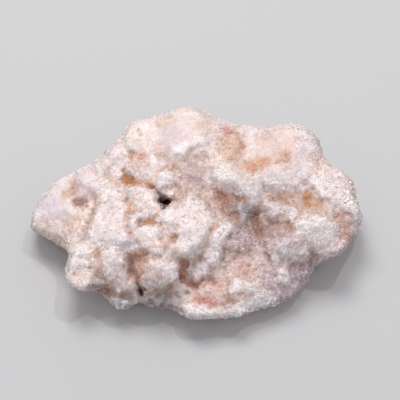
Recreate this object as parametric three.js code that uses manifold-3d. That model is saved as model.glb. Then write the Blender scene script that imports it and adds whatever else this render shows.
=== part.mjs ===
// Amethyst druse: one crust of grown-together quartz, about 120 mm across, broken from its vein
// and cut flat underneath so that it rests face up. The displayed side of its broad uneven body is
// raised into flat-topped lumps with creases, crevices and pits between them, and six-sided quartz
// points stand on all of it. It is one fused solid.
// Millimetres, +Z up, origin on the cut base at the middle of the overall box.
import * as THREE from "three";
import { mergeVertices } from "three/addons/utils/BufferGeometryUtils.js";
import { ImprovedNoise } from "three/addons/math/ImprovedNoise.js";
import { MeshSurfaceSampler } from "three/addons/math/MeshSurfaceSampler.js";
import Module from "manifold-3d";

// Driving dimensions
const displayAngle = 50; // degrees above level from which the crystal face is displayed
const midHeight = 18; // height over the base of the display plane's centre
const bodyMiddle = new THREE.Vector3(0, 4, 2); // inside the body: its surface is reached from here
const bodySpread = new THREE.Vector3(60, 42, 24); // half sizes of the ball that it starts from
const bodyShift = new THREE.Vector3(0, 0, 0.4); // how far that ball stands over its middle
const rootMiddle = new THREE.Vector3(0, 2.5, 3); // of a broad swelling that lies level at the base
const rootHalfSizes = new THREE.Vector3(47, 33, 13);
const bodyRows = 12; // rows of facets along a side of the icosahedron, a multiple of 3
const bodyWaves = [[11, 1.3], [4.5, 0.9]]; // width and height of the body's unevenness
const bodyProud = 3.2; // how far it stands out of its swellings, to be trimmed by the outline
const bodyClear = 8; // how much further it stands on its displayed side, clear of that side's sheet
const clearFacing = [0.1, 0.6]; // how far it turns to its displayed side where that begins and ends
const frontStep = 1.76; // spacing of the corners of the displayed side's sheet
const frontReach = new THREE.Vector2(126, 82); // size of that sheet, across and up
const outlineSpread = 1.008; // by how much its crystals widen the outline
const frontBack = 90; // how far behind the display plane the sheet's block and the outline reach
const tipRise = [0, 0.7]; // height of the body's crystals over their feet
const tipSlant = 0.5; // how far their tips lie from over the middle of their feet, at most
const raisedHeight = [0.5, 4]; // height over the base at which lumps and furrows fade in
const lumpFoot = 0.4; // share of its rise that a lump has at its outline
const lumpSkirt = 1.8; // width round the outline in which the rest of it falls away
const lumpRoundness = 1.6; // 1 slopes evenly inside the outline, and more rounds the edge
const pitDetail = 2;
const pitRoughness = 0.2; // share of its size by which a pit's wall wanders
const pitWaves = [[6, 1.4], [2.3, 0.7]]; // width and strength of that wander
const chipDetail = 7;
const chipWaves = [[9, 0.8]];
const blockSize = 400; // side of the block that cuts the base flat
const pointCount = 34;
const pointRadii = [0.6, 1.1];
const pointSlimness = 2.3; // height of a quartz point over the surface, in radii
const tipSlimness = 1.15; // height of its six-sided pyramid, in radii
const pointLean = 0.9; // how far a point leans off the surface, out of its length
const pointsFrom = 4; // height over the base of the lowest points
const bareCrest = { leftOf: 42, above: 22 }; // where only fine crystals grow

// Display plane: "across" is X, "up" lies in the plane square to the display direction.
const tilt = THREE.MathUtils.degToRad(displayAngle);
const upAxis = new THREE.Vector3(0, Math.sin(tilt), Math.cos(tilt));
const outAxis = new THREE.Vector3(0, -Math.cos(tilt), Math.sin(tilt));

// Swellings of the body, which is wrapped over them all and over its root: across, up, height over
// the base, half width, half length, half depth, turn in degrees
const swellings = [
  [-3, 17, 18, 24, 20, 18.5, 0], // domed crest
  [20, 15, 17, 23, 16, 18, -4],
  [43, 4, 14, 16, 15, 14, -25], // right flank
  [-43, -1, 11, 14.5, 12, 12, 8], // left wing
  [-27, 10, 15, 13, 14, 14, -30], // left shoulder
  [-24, -12, 12, 19, 16, 14, 0], // front left
  [10, -17, 8, 24, 18, 13, 8], // front slope
  [24, -14, 8, 14, 17, 12, 0],
  [-18.5, 25.3, 25, 8.3, 8.6, 9, 0], // crest
  [-12, 27.4, 27, 9, 8.3, 9, 0],
  [-3, 28.5, 28, 10, 10, 10, 0],
  [8, 24.5, 26, 11, 9.5, 10, -20],
  [-6, 22.5, 30.5, 11, 5, 8, 6], // its ledge
  [23, 16.5, 27, 17, 7.5, 9, -4],
  [19, 22.5, 25, 12, 9.5, 11, 0],
  [36.2, 21.2, 22, 11, 9.9, 11, -38],
  [-15, 17, 27, 6, 5, 6, -10],
  [-27.5, 18.5, 20, 6, 9.5, 8, -28], // left shoulder and wing
  [-36.5, 9.5, 16, 8, 8.2, 8, -30],
  [-31, 8, 21, 6, 5, 6, 0],
  [-51.5, -3.6, 11, 8.2, 5.2, 7, -14],
  [-49.5, 0.6, 12, 8, 5.6, 7, 34],
  [-47, 5.4, 13, 7.3, 7.2, 7, -35],
  [-42, -4, 17, 7, 7, 7, 0],
  [48, 9.2, 18, 11.2, 7.6, 9, -38], // right flank
  [51.3, -1.5, 15, 8.6, 8.8, 8, -10],
  [44, -4, 20, 8.5, 8, 8, 0],
  [47.5, -9, 14, 8.8, 8.2, 8, 25],
  [-19, 15, 28, 6, 5, 6, 0], // hanging under the crest
  [9, 12.5, 29, 6.5, 5.5, 7, 0], // lip of the crest
  [17, -8, 17, 6, 5, 6, 0], // in the cavity
  [-27, -8, 24, 5.5, 4.5, 6, 0], // front left
  [-40, -13, 17, 5, 6, 6, 0],
  [-35, -24, 11, 6, 5.5, 6, 0],
  [-15, -23, 16, 6, 6.5, 6, 0],
  [-25.2, -29.5, 8, 7, 6, 6, 0],
  [-11.5, -27.2, 9, 7, 5.8, 6, 0],
  [3, -5, 22, 8, 7, 7, 0],
  [2.5, -31, 9, 9, 7.2, 8, 0], // front slope
  [13.5, -31, 9, 8, 7, 7, 0],
  [24, -27, 9, 9.5, 7, 7, 10],
  [31.5, -25, 8, 6, 6.5, 6, 0],
  [35.5, -18, 11, 5.6, 7.3, 7, 0],
  [2, -21.5, 16, 5, 4.5, 5, 0],
  [31, -11, 19, 7, 6.5, 6, 0],
  [16, -25, 15, 7, 5.5, 6, 0],
  [29, -20, 14, 6, 6, 6, 0],
  [-10, 11.5, 27, 6, 7, 6, 20], // under the lumps
  [-18, 4.5, 26, 8, 7, 8, 0],
  [-9, -1, 26, 8, 6, 6, 0],
  [-1, 2, 25, 7, 5.5, 6, 0],
  [-3, -8.5, 22, 12, 11, 8.5, 30],
  [-16.5, -9, 24, 7, 6.5, 6, 0],
  [10, -10.5, 22, 6, 10, 5.5, -32],
  [18, 9.8, 28, 7, 5.5, 6, 0],
  [28.5, 11.5, 27, 9, 6, 7, 0],
  [27, 1.3, 22.5, 6, 5, 5, 0],
  [36.5, -4, 22, 7, 6.5, 6.5, 0],
  [-40.5, -20.5, 12.5, 6.5, 8.5, 7, 0],
  [-30, -18, 16.5, 7, 7, 7, 0],
  [-10, -19, 18, 7.5, 7, 7, 0],
  [-26, -25, 12, 6.5, 6, 6, 0],
  [-43.5, 11.5, 12, 5, 3.6, 6, 20],
];

// Outline of the displayed side, across and up
const outline = [
  // Left wing
  [-59.3, -4.3], [-57.5, -6.8], [-53, -8.5], [-50, -10.3], [-46, -12.5], [-44, -14.2], [-43.8, -15.5],
  // Front left
  [-45.5, -18.5], [-45.7, -22], [-44.5, -26], [-42.5, -28], [-38.5, -28.2], [-36, -29.4],
  [-30.3, -30.5], [-29, -32.5], [-27, -33.6], [-24, -33.7], [-22, -32.5], [-20.6, -29.5], [-19, -31],
  // Front slope
  [-14, -33], [-8, -34.3], [-5.5, -35.2], [-4, -37], [-2, -38.4], [5, -38.4], [10, -38], [11.3, -37],
  [13, -38], [16, -38.3], [18, -36.5], [23, -34.3], [30, -32.2], [36, -30.3], [36.4, -27.5],
  [38, -26.5], [40, -24], [42, -20], [42.5, -17.8],
  // Right flank
  [46.5, -17.3], [50, -15.5], [53.3, -14.3], [55, -10], [58.5, -5.5], [59.9, -2], [59.2, 1],
  [57.8, 2], [58.5, 3.2], [57, 5], [57.8, 7], [58, 10], [56.5, 13], [54.5, 15], [50.5, 17.2], [48, 20],
  // Crest
  [46.2, 20.7], [45, 22.5], [46.2, 25.3], [43, 28.5], [39, 31.2], [37, 31.7], [33, 31.5], [30, 30.9],
  [26, 30.7], [17, 31.2], [12, 32.3], [8, 34], [3, 36.6], [0, 37.8], [-2, 38.3], [-4, 38.1], [-9, 37],
  [-13, 34.8], [-20, 33.8], [-22, 33.2], [-25, 29.8], [-26.5, 26.8],
  // Left shoulder
  [-30, 25.5], [-33, 20], [-36, 18], [-40, 16], [-41, 14.6], [-43, 14.8], [-48, 12.5], [-52.5, 8],
  [-55, 6.5], [-58, 0],
];

// Lumps of the displayed side: rise, width of the rounded edge, and outline across and up
const lumps = [
  // Crest, with its ledge first
  [1.6, 3, [[-9.5, 23.5], [-7, 19.8], [-4, 19.2], [-1, 22.6], [4, 24.4], [5, 26.5], [2, 28], [-7, 26.5]]],
  [1.6, 3, [[-25, 23], [-25, 28.5], [-21, 32.5], [-16, 31.5], [-16.5, 26], [-19.5, 22.6]]],
  [2.8, 3, [
    [5.5, 12.8], [8, 9.8], [15, 8], [21, 4.6], [24.4, 6.8], [25, 9.3], [30, 8], [38, 8.4], [44.5, 17],
    [45, 26], [40, 31], [20, 32], [17, 25], [9.5, 18],
  ]],
  // Under the crest
  [2.4, 2, [[-17, 18.5], [-15.3, 21.8], [-13, 20], [-12.8, 17], [-15.3, 15.6]]],
  [3, 3, [[-14.3, 12], [-12.3, 16], [-10, 16.5], [-7, 14], [-6.6, 10.8], [-9.5, 8.6], [-13, 9.6]]],
  [2.2, 2.6, [[-24.3, 15], [-20.5, 17.3], [-16.3, 15], [-16.2, 11.8], [-20.5, 11.2], [-24, 13.4]]],
  [2, 2.4, [[-36.8, 8], [-31.5, 10.7], [-26, 8.8], [-26, 5.6], [-31, 4.9], [-36.5, 5.5]]],
  // Front left
  [4.4, 2.2, [
    [-24.4, 9.7], [-19.5, 10], [-15, 8.3], [-12.6, 4.5], [-14, 0], [-18.5, -1.8], [-23.5, -0.6],
  ]],
  [4.6, 2, [
    [-36, 3.2], [-29.5, 5], [-24.6, 4.6], [-24.3, -4.6], [-22.2, -8], [-23, -11.3], [-26, -12.3],
    [-33, -10], [-39.3, -9], [-38.3, -5], [-36, -0.5],
  ]],
  [4.4, 2, [
    [-20.3, -4.8], [-15, -4.1], [-12.8, -5.5], [-10.6, -12], [-11.5, -15], [-16, -15], [-20.5, -11.5],
  ]],
  [5.2, 2.2, [
    [-14.2, -0.2], [-11.5, 1.9], [-6.5, 3], [-4.4, 2], [-5.8, -3.8], [-10.5, -4.4], [-13, -3],
  ]],
  [5.2, 2.4, [[-4.7, 4.2], [-2.3, 7.4], [1, 6.2], [4, 4.2], [8.2, -2.6], [4, -3], [-3.5, -1.5]]],
  [5.6, 2.6, [
    [-6, -3.6], [0, -2.5], [7.6, -3.2], [4.6, -9], [-0.8, -15.2], [-4.8, -16.2], [-8.6, -15],
    [-9.4, -11], [-6.8, -8.5],
  ]],
  [4.2, 2.8, [
    [-18.8, -17.3], [-13.5, -15.9], [-5.5, -17.3], [-5.4, -22], [-10.4, -26.6], [-16.5, -27.5],
    [-18.8, -23],
  ]],
  [3.6, 3.4, [
    [-43.3, -11], [-38.5, -10.3], [-35.9, -13], [-36, -19.5], [-35.6, -25.5], [-38.5, -27.8],
    [-43.5, -26.5], [-45.6, -20.3], [-43.6, -15],
  ]],
  [3.6, 3, [
    [-34.5, -12.3], [-29, -12.2], [-24.4, -16], [-23.5, -21], [-21.2, -26], [-24.5, -29.2],
    [-28.8, -28], [-32.8, -22],
  ]],
  // Lath beside them, and the small lump under it
  [4, 1.8, [
    [8, -3.2], [15, -3.6], [11.8, -8.8], [9.5, -15.5], [7.3, -19.2], [4, -18.4], [2.6, -15.6],
    [5.8, -8.4],
  ]],
  [2.8, 1.8, [[-1.4, -20.8], [2, -19.7], [5.4, -21.6], [4, -24.3], [-0.6, -23.2]]],
  // Front slope
  [1.8, 2.4, [[-4.5, -31.5], [0, -32], [10.5, -34], [10.5, -37.2], [0, -38.2], [-4.6, -34.6]]],
  [1.5, 2.4, [[11.5, -22.5], [22.8, -24], [22.5, -27.6], [17, -28.7], [12, -29.3]]],
  [2.2, 2.2, [[29.5, -19.6], [34.6, -20.4], [34.4, -25.4], [32.5, -26.5], [29, -23.5]]],
  // Cavity and its rim
  [1.8, 2, [[14.6, 3.6], [18.5, 4.4], [20.3, 1], [18.2, -3.2], [16, -3.2]]],
  [1.8, 3, [[14.5, -5.2], [19.6, -4.9], [22.8, -11], [18, -13.8], [12.2, -12.2]]],
  [4, 2, [[24.5, 2.2], [26.6, 4.8], [30.2, 4], [32.2, 0], [30.6, -2.4], [26, -1.6]]],
  [2.4, 2, [[32.6, 1.8], [35, 3.3], [37.9, 0.5], [37, -3.2], [33, -3]]],
  // Right flank
  [3, 3.6, [
    [35.5, -3.2], [39, 0.4], [43, 0.6], [50, -3.2], [54.3, -11], [53, -14.5], [47, -17.3],
    [43.8, -16], [42, -13.3], [38, -15.9], [30.5, -15], [27.8, -11.5], [29.5, -8.6], [34, -8],
  ]],
  [2.2, 3.2, [
    [40.5, 9.4], [49, 2.8], [56.8, -1.5], [58.5, -3], [58.6, 2.5], [56.5, 12], [49, 17], [42, 14],
  ]],
];

// Furrows of the displayed side: depth, half width, and the line that each follows across and up
const furrows = [
  [2.6, 1, [[-25.8, 15.6], [-23, 11.4], [-17, 9.9], [-14, 8.2]]], // under the crest
  [2.2, 1.2, [[-13.8, 22.3], [-9, 18.6], [-6.5, 17]]],
  [2, 1.2, [[-19.8, -3.4], [-13, -3.6]]], // front left
  [3, 1.4, [[-24.5, -14.8], [-18.5, -15.4]]],
  [3, 1.6, [[-22.6, -17.5], [-21, -22.5], [-19, -30]]],
  [4, 1.7, [[-3.6, -17.5], [-4.2, -23], [1, -25.6]]],
  [1.4, 1.1, [[7.8, -4], [5, -9.4], [-0.5, -17]]], // along the lath
  [1.6, 1.2, [[14.5, -5.5], [11.2, -12], [10, -15.5]]],
  [1.8, 2.2, [[6.5, 8.5], [10.5, 4.4], [15, -2.4]]], // under the lip
  [2, 2, [[25, 7], [32, 6.2], [36, 6.2]]],
  [4, 1.9, [[22.4, 0], [21.8, -2.5], [22.8, -8.5]]], // in the cavity
  [2.6, 1.5, [[23.5, -3.2], [31.5, -4.8]]],
  [1.8, 1.2, [[23.5, -10], [27.3, -17.4]]],
  [1.8, 1.8, [[31, -16.8], [39, -18.8]]],
  [2.2, 2.4, [[40.5, 4.2], [46, 2.2], [52, -2], [54.5, -6.5]]], // groove of the right flank
  [1.2, 1.2, [[-36.6, 1], [-39.8, -8.5]]], // by the left wing
];

// Pits: across, up, height over the base, half width, half length, half depth, turn in degrees
const pits = [
  [-10.7, 4.1, 27, 1.9, 1.8, 9, 20], // deep hole between the lumps
  [-41, 3.6, 20, 2.8, 2, 2.6, 0],
  [22, -3, 19, 2.6, 4, 4, 8],
  [-4, -20.5, 17.5, 1.6, 2.6, 3, 5],
  [-18.8, -28, 14.5, 1.5, 2, 4, 0],
];

// Chips round the back, hollow broken faces where the crust was struck off its vein: the direction
// that each one faces in degrees, its height, its distance from the middle and its radius
const chips = [
  [84, 12, 40, 34],
  [127, 10, 42.5, 30],
  [52, 14, 49, 26],
];

const noise = new ImprovedNoise();
const wasm = await Module();
wasm.setup();

// A repeatable random number from 0 to 1
function randomFrom(seed) {
  let state = seed;
  return () => {
    state = (state + 0x6d2b79f5) | 0;
    let mixed = Math.imul(state ^ (state >>> 15), 1 | state);
    mixed = (mixed + Math.imul(mixed ^ (mixed >>> 7), 61 | mixed)) ^ mixed;
    return ((mixed ^ (mixed >>> 14)) >>> 0) / 4294967296;
  };
}

function bareMerged(geometry) {
  const bare = geometry.clone();
  bare.deleteAttribute("normal");
  bare.deleteAttribute("uv");
  return mergeVertices(bare, 1e-4);
}

function solidOf(geometry) {
  const merged = bareMerged(geometry);
  return new wasm.Manifold(
    new wasm.Mesh({
      numProp: 3,
      vertProperties: merged.attributes.position.array,
      triVerts: new Uint32Array(merged.index.array),
    }),
  );
}

function geometryOf(solid) {
  const mesh = solid.getMesh();
  return new THREE.BufferGeometry()
    .setAttribute("position", new THREE.BufferAttribute(mesh.vertProperties, 3))
    .setIndex(new THREE.BufferAttribute(mesh.triVerts, 1));
}

// Moves every corner of an icosphere to where the given function puts it
function reshapedBall(detail, move) {
  const ball = bareMerged(new THREE.IcosahedronGeometry(1, detail));
  const corners = ball.attributes.position;
  for (let i = 0; i < corners.count; i += 1) {
    const corner = move(new THREE.Vector3().fromBufferAttribute(corners, i));
    corners.setXYZ(i, corner.x, corner.y, corner.z);
  }
  return solidOf(ball);
}

// Adds up waves of noise, each with its width and its height
function wander({ x, y, z }, waves) {
  return waves.reduce((sum, [width, height]) => {
    return sum + height * noise.noise(x / width, y / width, z / width);
  }, 0);
}

// Lays a ball of radius 1 in the display plane, at a height over the base
function laidOut([across, up, height, halfWidth, halfLength, halfDepth, turn]) {
  const back = (up - (height - midHeight) * upAxis.z) / upAxis.y;
  return new THREE.Matrix4()
    .makeBasis(new THREE.Vector3(1, 0, 0), upAxis, outAxis)
    .multiply(new THREE.Matrix4().makeRotationZ(THREE.MathUtils.degToRad(turn)))
    .multiply(new THREE.Matrix4().makeScale(halfWidth, halfLength, halfDepth))
    .setPosition(across, back, height);
}

// Where a place on the body lies in the display plane: across, up
function onDisplay(place) {
  const away = place.clone().setZ(place.z - midHeight);
  return new THREE.Vector3(away.x, away.dot(upAxis), 0);
}

function distanceTo(line, spot) {
  const stretch = new THREE.Line3();
  const nearest = new THREE.Vector3();
  const distances = line.slice(1).map((end, k) => {
    stretch.start.set(...line[k], 0);
    stretch.end.set(...end, 0);
    return stretch.closestPointToPoint(spot, true, nearest).distanceTo(spot);
  });
  return Math.min(...distances);
}

function isInside(loop, { x, y }) {
  return loop.reduce((inside, [toX, toY], k) => {
    const [fromX, fromY] = loop.at(k - 1);
    const crosses = fromY > y !== toY > y;
    return crosses && x < fromX + ((toX - fromX) * (y - fromY)) / (toY - fromY) ? !inside : inside;
  }, false);
}

// How far a lump stands out of the body at a spot: a rounded edge inside its outline, and a skirt
function lumpRise([rise, edge, loop], spot) {
  const far = distanceTo([...loop, loop[0]], spot);
  if (!isInside(loop, spot)) return rise * lumpFoot * Math.max(0, 1 - far / lumpSkirt);
  const inward = Math.min(1, far / edge);
  return rise * (1 - (1 - lumpFoot) * (1 - inward) ** lumpRoundness);
}

function furrowDepth([depth, width, line], spot) {
  return depth * Math.exp(-((distanceTo(line, spot) / width) ** 2));
}

// How far the displayed side is raised at a place on it
function raised(place) {
  const spot = onDisplay(place);
  const rise = Math.max(...lumps.map((lump) => lumpRise(lump, spot)));
  const depth = Math.max(...furrows.map((furrow) => furrowDepth(furrow, spot)));
  return (rise - depth) * THREE.MathUtils.smoothstep(place.z, ...raisedHeight);
}

// Every third corner of the icosphere is a crystal's tip, so that each facet reaches up to just
// one tip and six of them close a crystal round.
const icosahedron = new THREE.IcosahedronGeometry(1, 0).attributes.position;
const icosahedronFaces = Array.from({ length: icosahedron.count / 3 }, (_, face) => {
  const corners = [0, 1, 2].map((k) => new THREE.Vector3().fromBufferAttribute(icosahedron, 3 * face + k));
  return new THREE.Triangle(...corners);
});

function isTip(corner) {
  for (const face of icosahedronFaces) {
    const normal = face.getNormal(new THREE.Vector3());
    const onFace = corner.clone().multiplyScalar(face.a.dot(normal) / corner.dot(normal));
    const { x, y, z } = face.getBarycoord(onFace, new THREE.Vector3());
    if (corner.dot(normal) > 0 && Math.min(x, y, z) > -1e-3) {
      return Math.round((x - y) * bodyRows) % 3 === 0;
    }
  }
  return false;
}

const rootSwelling = new THREE.Matrix4().scale(rootHalfSizes).setPosition(rootMiddle);
const intoSwellings = [rootSwelling, ...swellings.map(laidOut)].map((swelling) => swelling.invert());

// How far a ray from the body's middle runs before it leaves a swelling, or 0 if it misses
function reachOf(towards, intoSwelling) {
  const start = bodyMiddle.clone().applyMatrix4(intoSwelling);
  const step = bodyMiddle.clone().add(towards).applyMatrix4(intoSwelling).sub(start);
  const along = start.dot(step) / step.lengthSq();
  const inside = along * along - (start.lengthSq() - 1) / step.lengthSq();
  return inside < 0 ? 0 : Math.max(0, Math.sqrt(inside) - along);
}

function crystalTip(foot, towards, random) {
  const slant = new THREE.Vector3(random() - 0.5, random() - 0.5, random() - 0.5);
  foot.addScaledVector(slant, tipSlant);
  return foot.addScaledVector(towards, THREE.MathUtils.lerp(...tipRise, random()));
}

// The body: a ball whose corners are drawn out to the furthest swelling they meet, and further on
// its displayed side, which the sheet then trims
function bodySolid() {
  const random = randomFrom(7);
  return reshapedBall(bodyRows - 1, (corner) => {
    const tip = isTip(corner);
    const towards = corner.add(bodyShift).multiply(bodySpread).normalize();
    const reach = Math.max(...intoSwellings.map((swelling) => reachOf(towards, swelling)));
    const onBody = bodyMiddle.clone().addScaledVector(towards, reach + bodyProud);
    onBody.addScaledVector(towards, wander(onBody, bodyWaves));
    const facing = towards.clone().divide(bodySpread).divide(bodySpread).normalize().dot(outAxis);
    onBody.addScaledVector(outAxis, bodyClear * THREE.MathUtils.smoothstep(facing, ...clearFacing));
    return tip ? crystalTip(onBody, towards, random) : onBody;
  });
}

// How far a line square to the display plane runs out before it leaves a swelling. Beside the
// swelling it falls away on.
function frontOf(start, intoSwelling) {
  const from = start.clone().applyMatrix4(intoSwelling);
  const step = start.clone().add(outAxis).applyMatrix4(intoSwelling).sub(from);
  const along = from.dot(step) / step.lengthSq();
  const inside = along * along - (from.lengthSq() - 1) / step.lengthSq();
  return Math.sign(inside) * Math.sqrt(Math.abs(inside)) - along;
}

// Draws a place on the display plane out to the swellings, the lumps and the furrows
function drawnOut(place) {
  const out = Math.max(...intoSwellings.map((swelling) => frontOf(place, swelling)));
  place.addScaledVector(outAxis, Math.max(out, -frontBack / 2));
  return place.addScaledVector(outAxis, wander(place, bodyWaves) + raised(place));
}

// The displayed side: a block whose face is a sheet of even three-sided facets, drawn out. Every
// third of its corners is a crystal's tip too.
function frontSolid() {
  const random = randomFrom(31);
  const rowStep = frontStep * Math.sin(Math.PI / 3);
  const rows = Math.ceil(frontReach.y / rowStep);
  const columns = Math.ceil(frontReach.x / frontStep + rows / 2);
  const block = new THREE.BoxGeometry(columns, rows, 2, columns, rows, 1);
  const sheet = bareMerged(block);
  const corners = sheet.attributes.position;
  for (let i = 0; i < corners.count; i += 1) {
    const [column, row, side] = [corners.getX(i), corners.getY(i), corners.getZ(i)];
    const place = new THREE.Vector3((column - row / 2) * frontStep, 0, midHeight);
    place.addScaledVector(upAxis, row * rowStep);
    const isFoot = Math.round(column + columns / 2 - 2 * (row - rows / 2)) % 3 > 0;
    if (side < 0) place.addScaledVector(outAxis, -frontBack);
    else if (isFoot) drawnOut(place);
    else crystalTip(drawnOut(place), outAxis, random);
    corners.setXYZ(i, place.x, place.y, place.z);
  }
  return solidOf(sheet);
}

// All that lies within the outline, before and behind the display plane
function outlineSolid() {
  const corners = outline.map((spot) => new THREE.Vector2(...spot).multiplyScalar(outlineSpread));
  const prism = new THREE.ExtrudeGeometry(new THREE.Shape(corners), {
    depth: 2 * frontBack,
    bevelEnabled: false,
  });
  prism.translate(0, 0, -frontBack);
  return solidOf(prism.applyMatrix4(laidOut([0, 0, midHeight, 1, 1, 1, 0])));
}

function pitSolid(pit) {
  const laid = laidOut(pit);
  return reshapedBall(pitDetail, (corner) => {
    const swell = 1 + pitRoughness * wander(corner.clone().applyMatrix4(laid), pitWaves);
    return corner.multiplyScalar(swell).applyMatrix4(laid);
  });
}

function chipSolid([facing, height, distance, radius]) {
  const angle = THREE.MathUtils.degToRad(facing);
  const out = new THREE.Vector3(Math.cos(angle), Math.sin(angle), 0);
  const middle = out.clone().multiplyScalar(distance + radius).setZ(height);
  return reshapedBall(chipDetail, (corner) => {
    const onBall = corner.multiplyScalar(radius).add(middle);
    return onBall.addScaledVector(out, wander(onBall, chipWaves));
  });
}

function belowBase() {
  const block = new THREE.BoxGeometry(blockSize, blockSize, blockSize);
  block.translate(0, 0, -blockSize / 2);
  return solidOf(block);
}

function crust() {
  const { union } = wasm.Manifold;
  const fronted = bodySolid().intersect(frontSolid()).intersect(outlineSolid());
  const pitted = fronted.subtract(union(pits.map(pitSolid)));
  return pitted.subtract(union(chips.map(chipSolid)));
}

// Spots spread at random over a solid's surface, each with the direction it faces
function spotsOn(solid, count, seed, wanted) {
  const surface = new THREE.Mesh(geometryOf(solid).toNonIndexed());
  const sampler = new MeshSurfaceSampler(surface).setRandomGenerator(randomFrom(seed)).build();
  const spots = [];
  while (spots.length < count) {
    const spot = new THREE.Vector3();
    const facing = new THREE.Vector3();
    sampler.sample(spot, facing);
    if (wanted(spot, facing)) spots.push({ spot, facing });
  }
  return spots;
}

// A quartz point: a six-sided prism with a six-sided pyramid on it, leaning a little
function quartzPoint({ spot, facing }, random) {
  const radius = THREE.MathUtils.lerp(...pointRadii, random());
  const height = radius * pointSlimness;
  const outline = [
    new THREE.Vector2(0, -radius),
    new THREE.Vector2(radius, -radius),
    new THREE.Vector2(radius, height - radius * tipSlimness),
    new THREE.Vector2(0, height),
  ];
  const lean = new THREE.Vector3(random() - 0.5, random() - 0.5, random() - 0.5);
  const axis = facing.clone().addScaledVector(lean, pointLean).normalize();
  const prism = new THREE.LatheGeometry(outline, 6);
  prism.rotateY(random() * Math.PI);
  prism.applyQuaternion(new THREE.Quaternion().setFromUnitVectors(new THREE.Vector3(0, 1, 0), axis));
  prism.translate(spot.x, spot.y, spot.z);
  return solidOf(prism);
}

function withPoints(solid) {
  const random = randomFrom(23);
  const grows = (spot, facing) => {
    const onBareCrest = spot.x < bareCrest.leftOf && spot.z > bareCrest.above;
    return spot.z > pointsFrom && facing.z > 0 && !onBareCrest;
  };
  const points = spotsOn(solid, pointCount, 9, grows).map((spot) => quartzPoint(spot, random));
  return wasm.Manifold.union([solid, ...points]);
}

// The largest of the bodies that make up a solid, without the slivers that a cut sets loose
function mainBody(solid) {
  const bodies = solid.decompose();
  return bodies.reduce((largest, body) => (body.volume() > largest.volume() ? body : largest));
}

// Moves the geometry so that the middle of its box stands over the origin
function centred(geometry) {
  geometry.computeBoundingBox();
  const middle = geometry.boundingBox.getCenter(new THREE.Vector3());
  return geometry.translate(-middle.x, -middle.y, 0);
}

const druse = new THREE.Mesh(
  centred(geometryOf(mainBody(withPoints(crust()).subtract(belowBase())))),
  new THREE.MeshStandardMaterial({ color: 0xe9d8d4, roughness: 0.45, metalness: 0 }),
);
druse.name = "amethyst_druse";

const part = new THREE.Group();
part.add(druse);
export default part;
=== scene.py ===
import math

import bmesh
import bpy
import numpy as np
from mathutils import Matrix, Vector, noise
from mathutils.bvhtree import BVHTree


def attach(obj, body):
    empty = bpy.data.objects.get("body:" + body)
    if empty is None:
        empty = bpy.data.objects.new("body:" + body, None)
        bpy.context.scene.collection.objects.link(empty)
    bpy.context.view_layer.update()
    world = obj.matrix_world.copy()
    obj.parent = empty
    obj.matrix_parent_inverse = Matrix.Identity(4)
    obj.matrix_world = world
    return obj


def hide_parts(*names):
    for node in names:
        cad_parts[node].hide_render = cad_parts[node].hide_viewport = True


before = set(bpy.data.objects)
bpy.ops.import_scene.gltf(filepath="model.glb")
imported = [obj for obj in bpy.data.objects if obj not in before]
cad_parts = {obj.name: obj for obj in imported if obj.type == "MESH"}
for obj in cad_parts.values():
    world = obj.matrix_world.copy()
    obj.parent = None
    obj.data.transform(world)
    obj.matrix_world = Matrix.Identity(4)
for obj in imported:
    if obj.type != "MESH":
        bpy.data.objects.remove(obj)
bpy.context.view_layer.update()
print("frame loaded")

mm = 0.001

# The studio: lengths in millimetres, but the floor and the lamps in metres
view = {
    "tilt": 50.0,                      # the camera's height above level, in degrees
    "distance": 1200.0,
    "lens": 300.0,
    "sensor": 36.0,
    "target": (1.62, 2.035, 21.01),
    "middle": (-0.36, -1.55, 18.0),    # where the front's own across and up start
    "floorReach": 3.0,
    "floorColour": (0.52, 0.52, 0.53, 1),
    "floorRoughness": 0.85,
    "floorShine": 0.2,
    "skyColour": (0.98, 0.98, 1.0, 1),
    "skyStrength": 0.62,
    "lamps": (                         # name, place, size, power, colour
        ("keyLight", (-0.14, 0.34, 0.95), 0.45, 5.75, (1.0, 0.985, 0.965)),
        ("glintLight", (0.22, 0.12, 0.95), 0.03, 1.3, (1.0, 1.0, 1.0)),
    ),
}
tilt = math.radians(view["tilt"])
upAxis = np.array([0.0, math.sin(tilt), math.cos(tilt)])
outAxis = np.array([0.0, -math.cos(tilt), math.sin(tilt)])
frontMiddle = np.array(view["middle"])


def linkPiece(name, data):
    piece = bpy.data.objects.new(name, data)
    bpy.context.scene.collection.objects.link(piece)
    return piece


def linkMesh(name, verts, faces):
    mesh = bpy.data.meshes.new(name)
    mesh.from_pydata(verts, [], faces)
    mesh.update()
    return linkPiece(name, mesh)


# A node's inputs: linked where another node's output is given, and otherwise set
def setInputs(node, inputs):
    for key, value in inputs.items():
        if isinstance(value, bpy.types.NodeSocket):
            node.id_data.links.new(value, node.inputs[key])
        else:
            node.inputs[key].default_value = value


def newMaterial(name, inputs):
    material = bpy.data.materials.new(name)
    material.use_nodes = True
    shader = material.node_tree.nodes["Principled BSDF"]
    setInputs(shader, inputs)
    return material, material.node_tree, shader


def aimAlong(piece, out):
    piece.rotation_euler = (-out).to_track_quat("-Z", "Y").to_euler()


def makeCamera():
    data = bpy.data.cameras.new("studioCamera")
    data.lens = view["lens"]
    data.sensor_width = view["sensor"]
    data.clip_start = 0.05
    data.clip_end = 20.0
    camera = linkPiece("studioCamera", data)
    out = Vector(outAxis)
    camera.location = (Vector(view["target"]) + out * view["distance"]) * mm
    aimAlong(camera, out)
    bpy.context.scene.camera = camera


def makeFloor():
    size = view["floorReach"]
    corners = [(-size, -size, 0), (size, -size, 0), (size, size, 0), (-size, size, 0)]
    floor = linkMesh("floor", corners, [(0, 1, 2, 3)])
    floor.data.materials.append(newMaterial("floorPaper", {
        "Base Color": view["floorColour"],
        "Roughness": view["floorRoughness"],
        "Specular IOR Level": view["floorShine"],
    })[0])


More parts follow.
